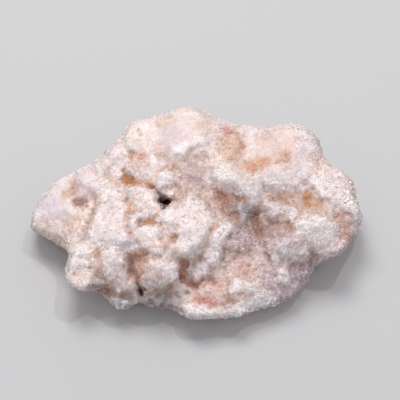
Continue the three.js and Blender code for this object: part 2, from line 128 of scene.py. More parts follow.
def makeLight():
    world = bpy.data.worlds.new("studioWorld")
    world.use_nodes = True
    setInputs(world.node_tree.nodes["Background"], {
        "Color": view["skyColour"],
        "Strength": view["skyStrength"],
    })
    bpy.context.scene.world = world
    for name, place, size, power, colour in view["lamps"]:
        data = bpy.data.lights.new(name, "AREA")
        data.shape = "SQUARE"
        data.size = size
        data.energy = power
        data.color = colour
        lamp = linkPiece(name, data)
        lamp.location = place
        aimAlong(lamp, Vector(place))
    bpy.context.scene.view_settings.view_transform = "Standard"


makeCamera()
makeFloor()
makeLight()
print("camera, floor and light ready")

# The body: the solid wrapped in an even skin, its front evened out and given its relief again.
# Lengths are in millimetres, and places on the front are measured across and up it
stone = {
    "seed": 8,
    "wrapRounds": 6,                   # subdivisions of the ball that is wrapped round the solid
    "wrapMiddle": (0.0, 2.5, 4.0),
    "wrapStretch": (3.0, 2.1, 1.0),
    "wrapReach": 120,                  # how far out the rays start that wrap it
    "roughVoxel": 0.8,                 # cell of the skin while the front is evened out
    "evenVoxel": 0.64,                 # while it gets its relief
    "voxel": 0.58,                     # and at the end
    "gridReach": (66.0, 44.0),         # how far the front's grids reach across and up
    "gridStep": 1.0,                   # cell of the grid that the front is measured on
    "gridAbove": 90.0,                 # how far out the rays start that measure it
    "rimRounds": 12,                   # how many cells inwards from the outline are counted
    "softness": 4.0,                   # how far the front's depth is evened out beneath its relief
    "evenFacing": (0.0, 0.45),         # how far out a face looks where this starts, and where it is full
    "reliefFacing": (-0.05, 0.35),     # the same for the relief
    "evenBase": (0.5, 3.0),            # height above the ground where both start, and over what height
    "roughBase": (0.3, 1.5),           # the same for swells, knobs and facets
    "lowest": 0.02,                    # nothing goes lower
    "boldness": 1.05,                  # all rises and depths of the front times this
    "reliefStep": 0.4,                 # cell of the relief's own grid
    "reliefBlur": 0.8,                 # how many cells it is softened over
    "edgeShare": 0.6,                  # all lumps' edge widths times this
    "edgeRound": 1.6,                  # how round these edges are
    "gapWidth": 6.0,                   # gaps between lumps narrower than this are part filled
    "gapFill": 0.9,
    "crease": (0.9, 0.5),              # depth and width of the thin crease along each lump's outline
    "creaseRise": 4,                   # lumps as high as this have the whole crease
    "creaseFade": (0.5, 1.4),          # how far inside another lump it fades and ends
    "furrowShare": 0.9,                # all furrows' widths times this
    "rim": (0.5, 5.0),                 # how far inside the outline the evening out starts, and is full
    "spotFade": (0.5, 1.2),            # where a spot of the tables below starts to fade, and ends
    "edgeWander": ((2.6, 0.9), (1.2, 0.7)),    # how finely and how far the lumps' edges wander
    "swells": ((6.0, 0.6), (3.0, 0.4)),        # size and height of the broad unevenness
    "knobs": ((3.0, 0.35), (1.5, 0.15)),       # cell across and rise of the rounded knobs
    "knobForm": (0.8, 0.75),                   # how wide they are in a cell, and how deep they sit
    "knobWander": (0.7, 0.2),                  # how finely and how far they wander, in cells
    "facets": ((3.2, 0.6), (1.7, 0.35)),       # cell across and tilt of the broken-looking facets
    "facetForm": (1.2, 0.4),                   # how far they slant, and how far they step
    "swellSeed": 41,
    "knobSeed": 31,
}

# Each lump of the front: rise, width of its rounded edge, outline across and up the front
lumps = (
    (1.0, 6.0, ((-15, 24), (-12.5, 23.5), (-9.5, 22), (-7, 19.8), (-5, 19), (-3, 20), (-1, 22.6),
        (2, 23.6), (6, 25), (10, 27), (11, 31), (8, 34.5), (0, 39), (-8, 38), (-14, 35), (-16, 30))),
    (2.0, 2.8, ((-9.6, 23.6), (-8.7, 21.5), (-7, 19.8), (-5, 19), (-3.6, 19.6), (-2.3, 21), (-1, 22.6),
        (1.5, 23.6), (4, 24.6), (5, 26.5), (2, 28), (-3, 27.5), (-7, 26.5), (-9.3, 25.3))),
    (2.6, 2.0, ((-17.2, 18.5), (-16.6, 20.5), (-15.3, 21.8), (-13.8, 21.3), (-12.9, 19.5), (-12.8, 17.5),
        (-13.7, 16), (-15.3, 15.6), (-16.7, 16.7))),
    (3.2, 3.0, ((-14.3, 12), (-13.8, 14.5), (-12.3, 16.2), (-10, 16.5), (-7.8, 15.2), (-6.6, 13),
        (-6.6, 10.8), (-7.8, 9.2), (-10, 8.6), (-12.3, 9.2), (-13.8, 10.3))),
    (2.4, 2.6, ((-24.3, 15), (-23, 16.8), (-20.5, 17.3), (-18, 16.8), (-16.3, 15), (-15.6, 13),
        (-16.2, 11.8), (-18, 11.2), (-20.5, 11.2), (-22.5, 12.2), (-24, 13.4))),
    (1.8, 2.8, ((-25, 24), (-25.3, 27), (-24, 30.5), (-21.5, 33), (-18, 33.6), (-15.5, 32), (-15.5, 29),
        (-16.5, 26.5), (-17.8, 24), (-19.5, 22.6), (-22, 22.2), (-24.3, 22.6))),
    (1.4, 2.2, ((-31.5, 22.5), (-29.5, 25.8), (-27.5, 26.3), (-26.3, 24.5), (-26.5, 21.5), (-27.5, 18.5),
        (-29.5, 17.5), (-31.8, 18.8))),
    (2.2, 2.4, ((-36.8, 8.5), (-34.5, 9.8), (-31.5, 10.7), (-28.5, 10.2), (-26.3, 9), (-25.4, 6.5),
        (-27, 5.4), (-30, 5), (-33, 4.9), (-36.2, 5.5))),
    (1.2, 2.4, ((-42, 12), (-41, 14.5), (-38, 16.5), (-34.5, 18), (-32.5, 15.5), (-32.3, 12.3),
        (-35, 10.6), (-38, 9.8), (-40.8, 9.8))),
    (4.6, 2.0, ((-24.4, 9.7), (-22, 10.2), (-19.5, 10), (-17, 9.3), (-15, 8.3), (-13.7, 6.6), (-12.8, 5),
        (-12.3, 3), (-12.6, 1), (-13, -0.8), (-14, -2), (-16, -2.2), (-18, -2.2), (-19.6, -3),
        (-20.6, -4.6), (-21.5, -6), (-23, -5.6), (-24, -4.4), (-24.1, 0), (-24.1, 5))),
    (4.4, 2.0, ((-12.8, -3.2), (-10.5, -3.4), (-8, -3.4), (-5.5, -3), (-5.2, -6), (-6.2, -8.2),
        (-7.6, -10), (-9, -11.4), (-10, -13), (-10.8, -12), (-11.4, -10), (-12, -8))),
    (4.8, 1.8, ((-36, 3.2), (-34, 4.2), (-31, 4.5), (-29.5, 5), (-27, 5), (-25, 4.8), (-24.3, 3),
        (-24.1, 0), (-24.2, -3), (-24.5, -4.8), (-23.3, -6.2), (-22.2, -8), (-22.3, -10.3),
        (-23.5, -11.6), (-25.5, -12.3), (-27.5, -11.8), (-30, -10.8), (-33, -10), (-36, -9.8),
        (-39, -9.2), (-39.5, -8), (-38.3, -5), (-37, -2.5), (-36, -0.5), (-35.7, 1.5))),
    (4.6, 1.8, ((-20.3, -4.8), (-18, -4.2), (-15, -4.1), (-13.2, -4.4), (-12.6, -6.5), (-12, -8.5),
        (-11, -10.5), (-10.5, -12.5), (-10.6, -14.3), (-12, -15.2), (-14, -15.3), (-16.2, -15),
        (-18, -13.6), (-19.8, -12.5), (-20.6, -10), (-20.8, -7.5))),
    (5.4, 2.0, ((-14.2, -0.2), (-13, 1.3), (-11.5, 1.9), (-9.9, 2.5), (-8.3, 3.3), (-6.5, 3),
        (-4.6, 2.6), (-4.2, 0.5), (-5, -1.8), (-5.8, -3.8), (-8, -4.5), (-10.5, -4.4), (-12.6, -3.6),
        (-13.2, -2))),
    (5.4, 2.2, ((-4.7, 4.4), (-3.8, 6.2), (-2.5, 7.4), (-1, 7.2), (0.5, 6.6), (1.8, 5.3), (3.6, 4.6),
        (4.8, 2.5), (6, 0.5), (7.6, -1), (8.2, -2.6), (7, -4), (4, -3), (0, -2.2), (-3, -1.5),
        (-4.4, 0.8), (-4.5, 2.8))),
    (5.8, 2.4, ((-6, -4), (-3, -3.2), (0, -2.5), (3, -2.5), (5.8, -2.8), (7.6, -3.2), (6.8, -5),
        (5.6, -7), (4.6, -9), (3, -11.5), (1.2, -13.5), (-0.8, -15.2), (-2.5, -16.2), (-4.8, -16.2),
        (-6.5, -15.8), (-8.6, -15), (-9.6, -13), (-9.4, -11), (-7.4, -10), (-6.6, -8.5), (-6.9, -6.3))),
    (4.2, 5.0, ((-36, 1), (-25.4, 1), (-25.4, 8.5), (-29, 9.6), (-35.6, 8.6))),
    (5.2, 3.0, ((-12, 1.2), (-9, 2), (-4, 2.6), (4, 2), (6.6, -1.2), (6.4, -4), (0, -9), (-5, -9),
        (-5.6, -5), (-11, -3))),
    (4.0, 5.0, ((-38, -8), (-30, -8), (-25, -9), (-24.4, -13.6), (-34, -14), (-38, -11))),
    (7.6, 4.0, ((-7, -12), (-4, -11), (0, -11), (1.6, -12.8), (-0.8, -14.8), (-3, -15.6), (-7, -15.2))),
    (6.8, 4.0, ((-8.6, -11), (-5, -9), (0, -8.6), (3.4, -10), (1.6, -13), (-0.8, -14.8), (-3, -15.6),
        (-7, -15.2), (-9, -13.4))),
    (4.2, 1.6, ((8, -3.2), (10.5, -3.1), (13, -3.3), (15, -3.6), (14.3, -5), (13, -6.6), (11.8, -8.8),
        (10.8, -11), (10.3, -13.3), (9.5, -15.5), (8.8, -17.6), (7.3, -19.2), (5.3, -19.3), (3.8, -18),
        (2.6, -16.6), (2.6, -15), (3.6, -13), (4.8, -10.8), (5.8, -8.4), (6.8, -6.2), (7.5, -4.6))),
    (4.4, 2.6, ((-18.8, -17.3), (-16.5, -16.2), (-13.5, -15.9), (-11, -16.2), (-9, -16.6), (-7, -16.9),
        (-5.5, -17.3), (-5.1, -19), (-5.6, -20.8), (-5.3, -22), (-6.2, -23.6), (-7.8, -24.6),
        (-9.3, -25.4), (-10.4, -26.6), (-12, -27.2), (-14.5, -27.7), (-16.5, -27.5), (-18, -26.2),
        (-18.6, -24.5), (-18.9, -22.5), (-18.4, -20.5), (-19.1, -19))),
    (3.4, 2.4, ((-27, -12), (-24, -11.4), (-21.5, -11), (-20, -12.6), (-18.4, -13.8), (-20, -14.6),
        (-23, -14.4), (-25.8, -14.2))),
    (3.8, 3.4, ((-43.3, -11), (-41, -10.2), (-38.5, -10.3), (-36.5, -11.3), (-35.8, -13.5), (-36, -16.5),
        (-36, -19.5), (-35.3, -21.5), (-35.3, -24.3), (-36.5, -26.5), (-38.5, -27.8), (-42, -27.9),
        (-44.2, -26), (-45.4, -23.5), (-45.6, -20.3), (-44.3, -17.4), (-43.5, -15), (-43.8, -12.8))),
    (3.8, 2.8, ((-34.5, -12.3), (-32, -11.6), (-29, -12.2), (-27, -13.3), (-25.3, -14.8), (-24.2, -16.5),
        (-24.8, -18.3), (-23.8, -20.5), (-22.8, -22.5), (-21.3, -24.5), (-21, -26.3), (-22, -28.3),
        (-24.5, -29.2), (-27.5, -29), (-29.2, -27.5), (-29.6, -25.3), (-31, -24.5), (-32.8, -22),
        (-33.8, -19), (-34.8, -16))),
    (1.6, 1.6, ((-30, -30), (-28, -29.5), (-25, -29.8), (-22, -29.6), (-20.6, -30.3), (-20.8, -32.3),
        (-22.5, -33.4), (-25, -33.9), (-27.5, -33.5), (-29, -32))),
    (1.6, 1.6, ((-18.5, -29.8), (-16.5, -28.6), (-14, -28.3), (-11.5, -28.6), (-10.3, -30), (-10.8, -32),
        (-13.5, -33), (-16, -32.3), (-18.2, -31.3))),
    (2.8, 3.4, ((-1.4, -20.8), (-0.4, -18.8), (2.4, -16.6), (5.8, -16.4), (6.4, -19.6), (5.6, -22.6),
        (4.8, -24.4), (3.6, -23.4), (1.8, -24), (0.3, -23.2), (-1, -22.4))),
    (1.8, 2.2, ((-4.5, -31.5), (-2, -30.8), (0, -32), (4, -33), (7, -34), (10.5, -34), (10.8, -37),
        (8, -38.3), (2, -38.4), (-1, -37.6), (-3.5, -36), (-5, -34))),
    (1.5, 2.4, ((11.5, -22.5), (14, -22.3), (17, -23), (20, -23.8), (22.8, -24), (23.3, -26), (22, -28),
        (20, -29), (17, -28.7), (14.5, -29.3), (12, -29.3), (11.3, -27), (12, -25))),
    (1.6, 1.8, ((11.8, -33.2), (14, -32.5), (17, -33), (19, -34), (18.8, -36), (16, -38.2), (13, -38),
        (11.5, -36.5))),
    (2.2, 2.0, ((29.5, -19.6), (32, -20), (34.5, -20.2), (34.8, -22.5), (34.6, -25), (33.5, -26.5),
        (31, -25.6), (29.5, -24.5), (28.9, -22.5))),
    (3.2, 3.6, ((35.5, -3.2), (37, -1), (39, 0.4), (42, 0.8), (45, -0.2), (48, -1.6), (50, -3.2),
        (51.5, -4.4), (51.8, -6), (52.5, -8), (54, -10), (54.5, -12.5), (53, -14.5), (50, -16),
        (47, -17.3), (45, -17.6), (43.8, -16), (42.8, -13.4), (41, -13.2), (40.3, -15.5), (38, -15.9),
        (35, -15.6), (33, -15.8), (30.5, -15), (28.2, -14), (27.8, -11.5), (28.5, -9.3), (31.5, -8.3),
        (34, -8), (35.3, -6))),
    (2.8, 3.4, ((23.6, 2.6), (24.6, 4.4), (26, 4.2), (27.4, 5), (29.4, 4.6), (32, 4.2), (33.4, 2.4),
        (32.6, 0.6), (31.2, 0), (31.4, -1.6), (29.4, -1.8), (28, -2.8), (26.4, -1.6), (24.8, -1.4),
        (24.8, 0.6))),
    (2.6, 2.0, ((32.4, 1.5), (34, 3.3), (36, 3), (37.5, 1.5), (38.3, -0.5), (37.5, -3), (35.5, -3.5),
        (33.5, -3.4), (32.6, -2))),
    (2.3, 3.8, ((5.5, 12.8), (6.2, 11), (8, 9.8), (9.8, 9.2), (11.5, 9.8), (13, 9), (15, 8), (17, 6.3),
        (19, 5.3), (21, 4.6), (22.8, 4.9), (24.4, 6.8), (25, 9.3), (27, 8.7), (30, 8), (33, 7.8),
        (36, 7.8), (38, 8.4), (40, 10.5), (42, 13.5), (44.5, 17), (46, 22), (44.5, 27), (40, 31),
        (30, 32), (20, 32), (17.5, 28), (17, 25), (14.5, 21.5), (9.5, 18), (6.5, 15.5))),
    (2.4, 3.2, ((40.5, 9.4), (44, 7), (46, 4.8), (49, 2.8), (52, 1.4), (55, 0), (56.8, -1.5), (57.2, -4),
        (58.5, -5.5), (60, -1), (59, 2.5), (57, 5.5), (58, 9.5), (56.5, 12.5), (53, 15.5), (49, 17),
        (44, 16), (41, 12.5))),
    (1.8, 1.8, ((14.6, 3.6), (16.5, 4.3), (18.5, 4.4), (20.2, 3), (20.3, 0.8), (19.3, -1.6),
        (18.2, -3.2), (16.2, -3.2), (15.4, -1.4), (14.8, 0.6))),
    (1.8, 2.8, ((14.5, -5.2), (17, -4.6), (19.6, -4.9), (20.6, -7), (21.8, -9), (22.8, -11), (21.5, -13),
        (18, -13.8), (14.5, -13.5), (12.2, -12.5), (12, -10.5), (13.3, -8))),
)

# Each furrow or hollow of the front: depth, width, the line it follows
furrows = (
    (2.4, 0.7, ((-25.8, 15.6), (-25.4, 14), (-24, 12.2), (-22, 10.9))),
    (3.0, 0.8, ((-22, 10.9), (-19.5, 10.4), (-17, 9.8), (-15, 9))),
    (5.0, 1.2, ((-15, 9), (-13.2, 7.4), (-11.8, 5.8))),
    (9.0, 1.9, ((-11.6, 4.3), (-10.8, 2.9))),
    (9.0, 1.6, ((-11, 3.9), (-9.2, 3.6))),
    (1.6, 0.8, ((-8.5, 4.6), (-6.5, 6), (-5.4, 8.5))),
    (1.6, 0.8, ((-19.8, -3.6), (-17, -3), (-14, -3.2), (-12.8, -3.6))),
    (1.2, 0.6, ((-24.3, 4.5), (-24, 0), (-24, -4.5))),
    (1.6, 0.7, ((-25.5, -5), (-23.6, -6), (-22.2, -7.8))),
    (1.0, 1.0, ((-24.5, -14.8), (-21.5, -15.4), (-18.5, -15.4))),
    (2.6, 1.6, ((-22.8, -17.5), (-21.8, -20), (-21, -22.5))),
    (3.4, 1.2, ((-21, -22.5), (-20, -25), (-19.4, -27.5), (-18.9, -30))),
    (1.8, 1.4, ((-35.5, -27.4), (-33, -27.8), (-30.5, -28))),
    (0.8, 1.4, ((-35, -13), (-34, -17), (-34, -21))),
    (0.9, 0.5, ((-30, -29.7), (-25, -29.5), (-21.5, -29.6))),
    (2.6, 1.6, ((-4, -17), (-3.6, -20), (-4.4, -23))),
    (2.0, 1.7, ((-4, -23.4), (-1.8, -24.8), (1, -25.6))),
    (0.4, 0.8, ((7.8, -4), (6.6, -6.6), (5, -9.4), (3.4, -12.2), (1.4, -15), (-0.5, -17))),
    (0.8, 0.6, ((-8.5, -16.2), (-5.5, -16.5))),
    (0.8, 0.8, ((14.5, -5.5), (12.4, -8.8), (11.2, -12), (10, -15.5))),
    (1.0, 2.4, ((6.5, 8.5), (9, 6.8), (10.5, 4.4), (12, 2))),
    (2.6, 1.6, ((12.8, 0), (15, -2.4))),
    (1.2, 1.4, ((14.5, 5.5), (17.5, 4.8))),
    (0.4, 2.0, ((25, 7), (28, 6.6), (32, 6.2), (36, 6.2))),
    (1.9, 1.7, ((22.4, 0), (21.8, -2.5), (22, -5.5), (22.8, -8.5))),
    (1.3, 1.3, ((23.5, -3.2), (26.5, -3.6), (29.5, -4), (31.5, -4.8))),
    (1.4, 1.0, ((23.5, -10), (25, -12.5), (26, -15))),
    (2.4, 0.8, ((26.2, -15.8), (27.3, -17.4))),
    (1.2, 0.8, ((33.8, -4.8), (34.6, -5.4))),
    (1.8, 2.6, ((40.5, 4.2), (43, 3.5), (46, 2.2))),
    (1.2, 1.6, ((46, 2.2), (49, 0.2), (52, -2))),
    (1.0, 2.2, ((52.5, -3.5), (54.5, -6.5))),
    (2.2, 1.2, ((42.2, -13.8), (41.8, -16.2))),
    (1.6, 1.8, ((31, -16.8), (35, -17.4), (39, -18.8))),
    (2.6, 1.9, ((-42.5, 4.2), (-40, 4.2))),
    (0.9, 1.2, ((-43.5, 7.5), (-43.5, 10))),
    (0.8, 1.4, ((-40.5, 7.5), (-38, 6))),
    (1.2, 1.0, ((-36.6, 1), (-37.6, -2), (-39.3, -5.5), (-39.8, -8.5))),
    (1.3, 1.0, ((-23, 20.8), (-20.5, 20.4), (-18.3, 20.8))),
    (1.0, 1.3, ((-13.8, 22.5), (-11, 20.5), (-9, 18.6), (-6.5, 17.2))),
    (1.0, 1.2, ((-6, 16), (-5.4, 13), (-5, 10.5))),
    (0.7, 0.8, ((15.7, 28.5), (16, 26), (17.6, 23.4))),
    (2.2, 1.2, ((5.6, -23.6), (7, -24.6))),
    (1.2, 0.4, ((21.9, -19.7), (22, -19.9))),
    (0.9, 0.9, ((12.5, -30.8), (14.5, -31.4))),
    (1.4, 0.8, ((-2.6, -27.8), (-2, -28.6))),
    (1.4, 0.9, ((-8.6, -9), (-7.2, -9))),
)

# Where the stone is smoother: share kept of its knobs and facets, radius, middle across and up
calmSpots = (
    (0.25, 13, (-4, 30)), (0.35, 8, (-20, 28)), (0.35, 12, (30, 22)), (0.4, 9, (16, 22)),
    (0.45, 9, (-50, 3)), (0.5, 8, (-38, 12)), (0.5, 7, (-31, -3)), (0.5, 6, (0, 14)),
    (0.5, 8, (50, 8)), (0.6, 7, (44, -8)),
)

# Where the lumps' edges run straight: share kept of their wandering, radius, middle
straightSpots = (
    (0.35, 5, (12, -5)), (0.35, 5, (8, -11)), (0.35, 5, (5.5, -16)),
)


def linkWork(name, work):
    mesh = bpy.data.meshes.new(name)
    work.to_mesh(mesh)
    work.free()
    return linkPiece(name, mesh)


# A copy of a solid, whose triangles are loose, with their corners merged
def mergedCopy(node, name):
    work = bmesh.new()
    work.from_mesh(node.data)
    bmesh.ops.remove_doubles(work, verts=work.verts, dist=1e-6)
    return linkWork(name, work)


def appliedMesh(piece):
    graph = bpy.context.evaluated_depsgraph_get()
    mesh = bpy.data.meshes.new_from_object(piece.evaluated_get(graph))
    old = piece.data
    piece.modifiers.clear()
    piece.data = mesh
    bpy.data.meshes.remove(old)


def placesOf(mesh):
    places = np.empty(len(mesh.vertices) * 3)
    mesh.vertices.foreach_get("co", places)
    return places.reshape(-1, 3) / mm


def normalsOf(mesh):
    normals = np.empty(len(mesh.vertices) * 3)
    mesh.vertices.foreach_get("normal", normals)
    return normals.reshape(-1, 3)


def setPlaces(mesh, places):
    mesh.vertices.foreach_set("co", (places * mm).ravel())
    mesh.update()


def unitRows(rows):
    return rows / np.linalg.norm(rows, axis=1, keepdims=True)


# Gives a function that evens out any values along the mesh's edges
def smoother(mesh):
    edges = np.empty(len(mesh.edges) * 2, int)
    mesh.edges.foreach_get("vertices", edges)
    a, b = edges.reshape(-1, 2).T
    count = len(mesh.vertices)
    weight = np.bincount(a, minlength=count) + np.bincount(b, minlength=count)

    def smooth(values, times, share=0.5):
        values = values.copy()
        flat = values.reshape(count, -1)
        for _ in range(times):
            for k in range(flat.shape[1]):
                column = flat[:, k]
                total = np.bincount(a, column[b], count) + np.bincount(b, column[a], count)
                flat[:, k] = column + share * (total / weight - column)
        return values
    return smooth


def remeshed(piece, voxel):
    remesh = piece.modifiers.new("remesh", "REMESH")
    remesh.mode = "VOXEL"
    remesh.voxel_size = voxel * mm
    appliedMesh(piece)
    print(piece.name, "remeshed:", len(piece.data.polygons), "faces")
    return piece.data, smoother(piece.data)


# From 0 at the start to 1 at the end, without a kink
def ease(values, start, end):
    t = np.clip((values - start) / (end - start), 0, 1)
    return t * t * (3 - 2 * t)


def frontPlaces(places):
    away = places - frontMiddle
    return np.column_stack((away[:, 0], away @ upAxis))


def lineDistance(points, line, closed=False):
    best = np.full(len(points), 1e9)
    ends = line[1:] + line[:1] if closed else line[1:]
    for start, end in zip(line, ends):
        start, end = np.array(start, float), np.array(end, float)
        along = end - start
        share = np.clip((points - start) @ along / (along @ along), 0, 1)
        best = np.minimum(best, np.linalg.norm(points - start - share[:, None] * along, axis=1))
    return best


# Distance from an outline, above 0 inside it and below 0 outside
def insideDistance(points, outline):
    inside = np.zeros(len(points), bool)
    x, y = points.T
    for (ax, ay), (bx, by) in zip(outline, outline[1:] + outline[:1]):
        crosses = (ay > y) != (by > y)
        with np.errstate(divide="ignore", invalid="ignore"):
            inside ^= crosses & (x < (bx - ax) * (y - ay) / (by - ay) + ax)
    far = lineDistance(points, outline, True)
    return np.where(inside, far, -far)


# Every seed reads the noise somewhere else
def noiseVectors(places, size, seed):
    shift = Vector((seed * 13.7, seed * 5.3, seed * 7.9))
    return np.array([noise.noise_vector(Vector(p) + shift) for p in places / size])


# Fades a table of spots into one value for each place on the front
def spotShare(points, spots, start=1.0):
    value = np.full(len(points), start)
    for amount, radius, middle in spots:
        far = np.linalg.norm(points - np.array(middle), axis=1) / radius
        value += (amount - value) * (1 - ease(far, *stone["spotFade"]))
    return value


# The even grid of places across and up the front
def frontGrid(step):
    reach = np.array(stone["gridReach"])
    count = (2 * reach / step).astype(int)
    return np.meshgrid(*(np.arange(count[k]) * step - reach[k] for k in (0, 1)), indexing="ij")


# Reads a value off that grid for any places on the front
def readGrid(field, points, step=stone["gridStep"]):
    spot = (points + np.array(stone["gridReach"])) / step
    spot = np.clip(spot, 0, np.array(field.shape) - 1.001)
    i = spot.astype(int)
    (a, b), (p, q) = i.T, (spot - i).T
    low = field[a, b] * (1 - p) + field[a + 1, b] * p
    high = field[a, b + 1] * (1 - p) + field[a + 1, b + 1] * p
    return low * (1 - q) + high * q


def blurred(field, sigma):
    reach = int(math.ceil(sigma * 3))
    curve = np.exp(-0.5 * (np.arange(-reach, reach + 1) / sigma) ** 2)
    curve /= curve.sum()
    for axis in (0, 1):
        field = np.apply_along_axis(lambda row: np.convolve(row, curve, "same"), axis, field)
    return field


# The highest or lowest value within some cells of each cell
def shiftedMost(field, cells, pick):
    most = field.copy()
    for i in range(-cells, cells + 1):
        for j in range(-cells, cells + 1):
            if 0 < i * i + j * j <= cells * cells:
                most = pick(most, np.roll(field, (i, j), (0, 1)))
    return most


# The front's relief on a fine grid: lumps with their gaps part filled, then the furrows
def makeRelief():
    across, up = frontGrid(stone["reliefStep"])
    points = np.column_stack((across.ravel(), up.ravel()))
    rise, crease = np.zeros(len(points)), np.zeros(len(points))
    inner = []
    for height, edge, outline in lumps:
        inner.append(insideDistance(points, outline))
        near = np.clip(inner[-1] / (edge * stone["edgeShare"]), 0, 1)
        rise = np.maximum(rise, height * (1 - (1 - near) ** stone["edgeRound"]))
    outside = 1 - ease(np.max(inner, axis=0), *stone["creaseFade"])
    sunk, thin = stone["crease"]
    for (height, _, _), far in zip(lumps, inner):
        line = min(height / stone["creaseRise"], 1) * np.exp(-(far / thin) ** 2) * outside
        crease = np.maximum(crease, line)
    rise, crease = rise.reshape(across.shape), crease.reshape(across.shape)
    cells = int(round(stone["gapWidth"] * 0.5 / stone["reliefStep"]))
    filled = shiftedMost(shiftedMost(rise, cells, np.maximum), cells, np.minimum)
    rise = np.maximum(rise, filled * stone["gapFill"])
    depth = crease.ravel() * sunk
    for deep, wide, line in furrows:
        far = lineDistance(points, line) / (wide * stone["furrowShare"])
        depth = np.maximum(depth, deep * np.exp(-far ** 2))
    rise = (rise - depth.reshape(rise.shape)) * stone["boldness"]
    return blurred(rise, stone["reliefBlur"]), crease


# Where on the front a place takes its relief and colour from, so that edges wander a little
def wandered(places):
    points = frontPlaces(places)
    wander = sum(noiseVectors(places, size, stone["seed"] + k)[:, :2] * far
                 for k, (size, far) in enumerate(stone["edgeWander"]))
    return points + wander * spotShare(points, straightSpots)[:, None]


def reliefOf(places):
    return readGrid(relief, wandered(places), stone["reliefStep"])


def rayTree(mesh):
    return BVHTree.FromPolygons([v.co / mm for v in mesh.vertices], [p.vertices for p in mesh.polygons])


# Measures how far out the front lies on an even grid, and how far inside the outline each spot is
def measureFront(mesh):
    across, up = frontGrid(stone["gridStep"])
    level = frontMiddle + across[..., None] * np.array([1.0, 0, 0]) + up[..., None] * upAxis
    tree, above = rayTree(mesh), stone["gridAbove"]
    out, depth = Vector(outAxis), np.full(across.shape, np.nan)
    for cell in np.ndindex(across.shape):
        spot, _, _, far = tree.ray_cast(Vector(level[cell]) + out * above, -out)
        if spot is not None:
            depth[cell] = above - far
    hit = ~np.isnan(depth)
    places = level + outAxis * np.where(hit, depth, 0)[..., None]
    rise = reliefOf(places.reshape(-1, 3)).reshape(depth.shape)
    cover = blurred(hit.astype(float), stone["softness"])
    ground = blurred(np.where(hit, depth - rise, 0.0), stone["softness"]) / np.maximum(cover, 1e-3)
    inner, core = np.zeros(depth.shape), hit
    for _ in range(stone["rimRounds"]):
        inner += core * stone["gridStep"]
        sides = [np.roll(core, shift, axis) for axis in (0, 1) for shift in (1, -1)]
        core = np.logical_and.reduce([core] + sides)
    return ground, inner


# A ball shrunk on to the solid from all sides
def wrapped(solid, name):
    ball = bmesh.new()
    bmesh.ops.create_icosphere(ball, subdivisions=stone["wrapRounds"], radius=1.0)
    tree, start, stretch = rayTree(solid), Vector(stone["wrapMiddle"]), Vector(stone["wrapStretch"])
    for vert in ball.verts:
        out = (vert.co * stretch).normalized()
        spot = tree.ray_cast(start + out * stone["wrapReach"], -out)[0]
        vert.co = (spot if spot is not None else start) * mm
    return linkWork(name, ball)


def knobsOf(places, size, seed):
    wide, deep = stone["knobForm"]
    shift = Vector((seed * 3.1, seed * 1.7, seed * 2.3))
    near = np.array([noise.voronoi(Vector(p) + shift)[0][0] for p in places / size])
    return np.sqrt(np.clip(1.0 - near ** 2 / wide, 0, 1)) - deep


# Each cell is a flat of its own that leans some way and lies a little higher or lower
def facetsOf(places, size, seed):
    slant, step = stone["facetForm"]
    shift = Vector((seed * 4.3, seed * 2.9, seed * 6.1))
    lift = np.empty(len(places))
    for i, p in enumerate(places / size):
        spot = Vector(p) + shift
        middle = noise.voronoi(spot)[1][0]
        lean = noise.cell_vector(middle * 5.7 + shift) - Vector((0.5, 0.5, 0.5))
        lift[i] = lean.dot(spot - middle) * slant + lean.x * step
    return lift


def aboveBase(places, start, over):
    return np.clip((places[:, 2] - start) / over, 0, 1)[:, None]


# The first skin, moved out or in to the evened ground of the front
def evenFront(piece, ground, inner):
    mesh, smooth = remeshed(piece, stone["roughVoxel"])
    places = smooth(placesOf(mesh), times=2)
    setPlaces(mesh, places)
    facing = smooth(normalsOf(mesh), times=8) @ outAxis
    points = frontPlaces(places)
    share = ease(facing, *stone["evenFacing"]) * ease(readGrid(inner, points), *stone["rim"])
    lift = (readGrid(ground, points) - (places - frontMiddle) @ outAxis) * smooth(share, times=4)
    places = places + outAxis * lift[:, None] * aboveBase(places, *stone["evenBase"])
    setPlaces(mesh, smooth(places, times=2))


# The second skin, given its lumps and furrows
def addRelief(piece):
    mesh, smooth = remeshed(piece, stone["evenVoxel"])
    places = placesOf(mesh)
    facing = smooth(normalsOf(mesh), times=6) @ outAxis
    lift = reliefOf(places) * ease(facing, *stone["reliefFacing"])
    setPlaces(mesh, places + outAxis * lift[:, None] * aboveBase(places, *stone["evenBase"]))


# The last skin, with its swells all over and its knobs and facets where it isn't calm
def roughen(piece):
    mesh, smooth = remeshed(piece, stone["voxel"])
    places = smooth(placesOf(mesh), times=2)
    setPlaces(mesh, places)
    normals = unitRows(smooth(normalsOf(mesh), times=4))
    swell, lift = np.zeros(len(places)), np.zeros(len(places))
    for k, (size, rise) in enumerate(stone["swells"]):
        swell += noiseVectors(places, size, stone["swellSeed"] + k)[:, 2] * rise
    fineness, reach = stone["knobWander"]
    for k, (size, rise) in enumerate(stone["knobs"]):
        wander = noiseVectors(places, size * fineness, stone["knobSeed"] + k) * size * reach
        lift += knobsOf(places + wander, size, k + 1) * rise
    for k, (size, slant) in enumerate(stone["facets"]):
        lift += facetsOf(places, size, k + 1) * slant
    lift = swell + lift * spotShare(frontPlaces(places), calmSpots)
    places += normals * lift[:, None] * aboveBase(places, *stone["roughBase"])
    places[:, 2] = np.maximum(places[:, 2], stone["lowest"])
    setPlaces(mesh, places)


def makeBody():
    solid = mergedCopy(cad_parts["amethyst_druse"], "solid")
    ground, inner = measureFront(solid.data)
    print("front measured")
    piece = wrapped(solid.data, "druseBody")
    bpy.data.objects.remove(solid)
    evenFront(piece, ground, inner)
    addRelief(piece)
    roughen(piece)
    return piece


noise.seed_set(stone["seed"])
relief, creaseShade = makeRelief()
body = makeBody()
print("body shaped")

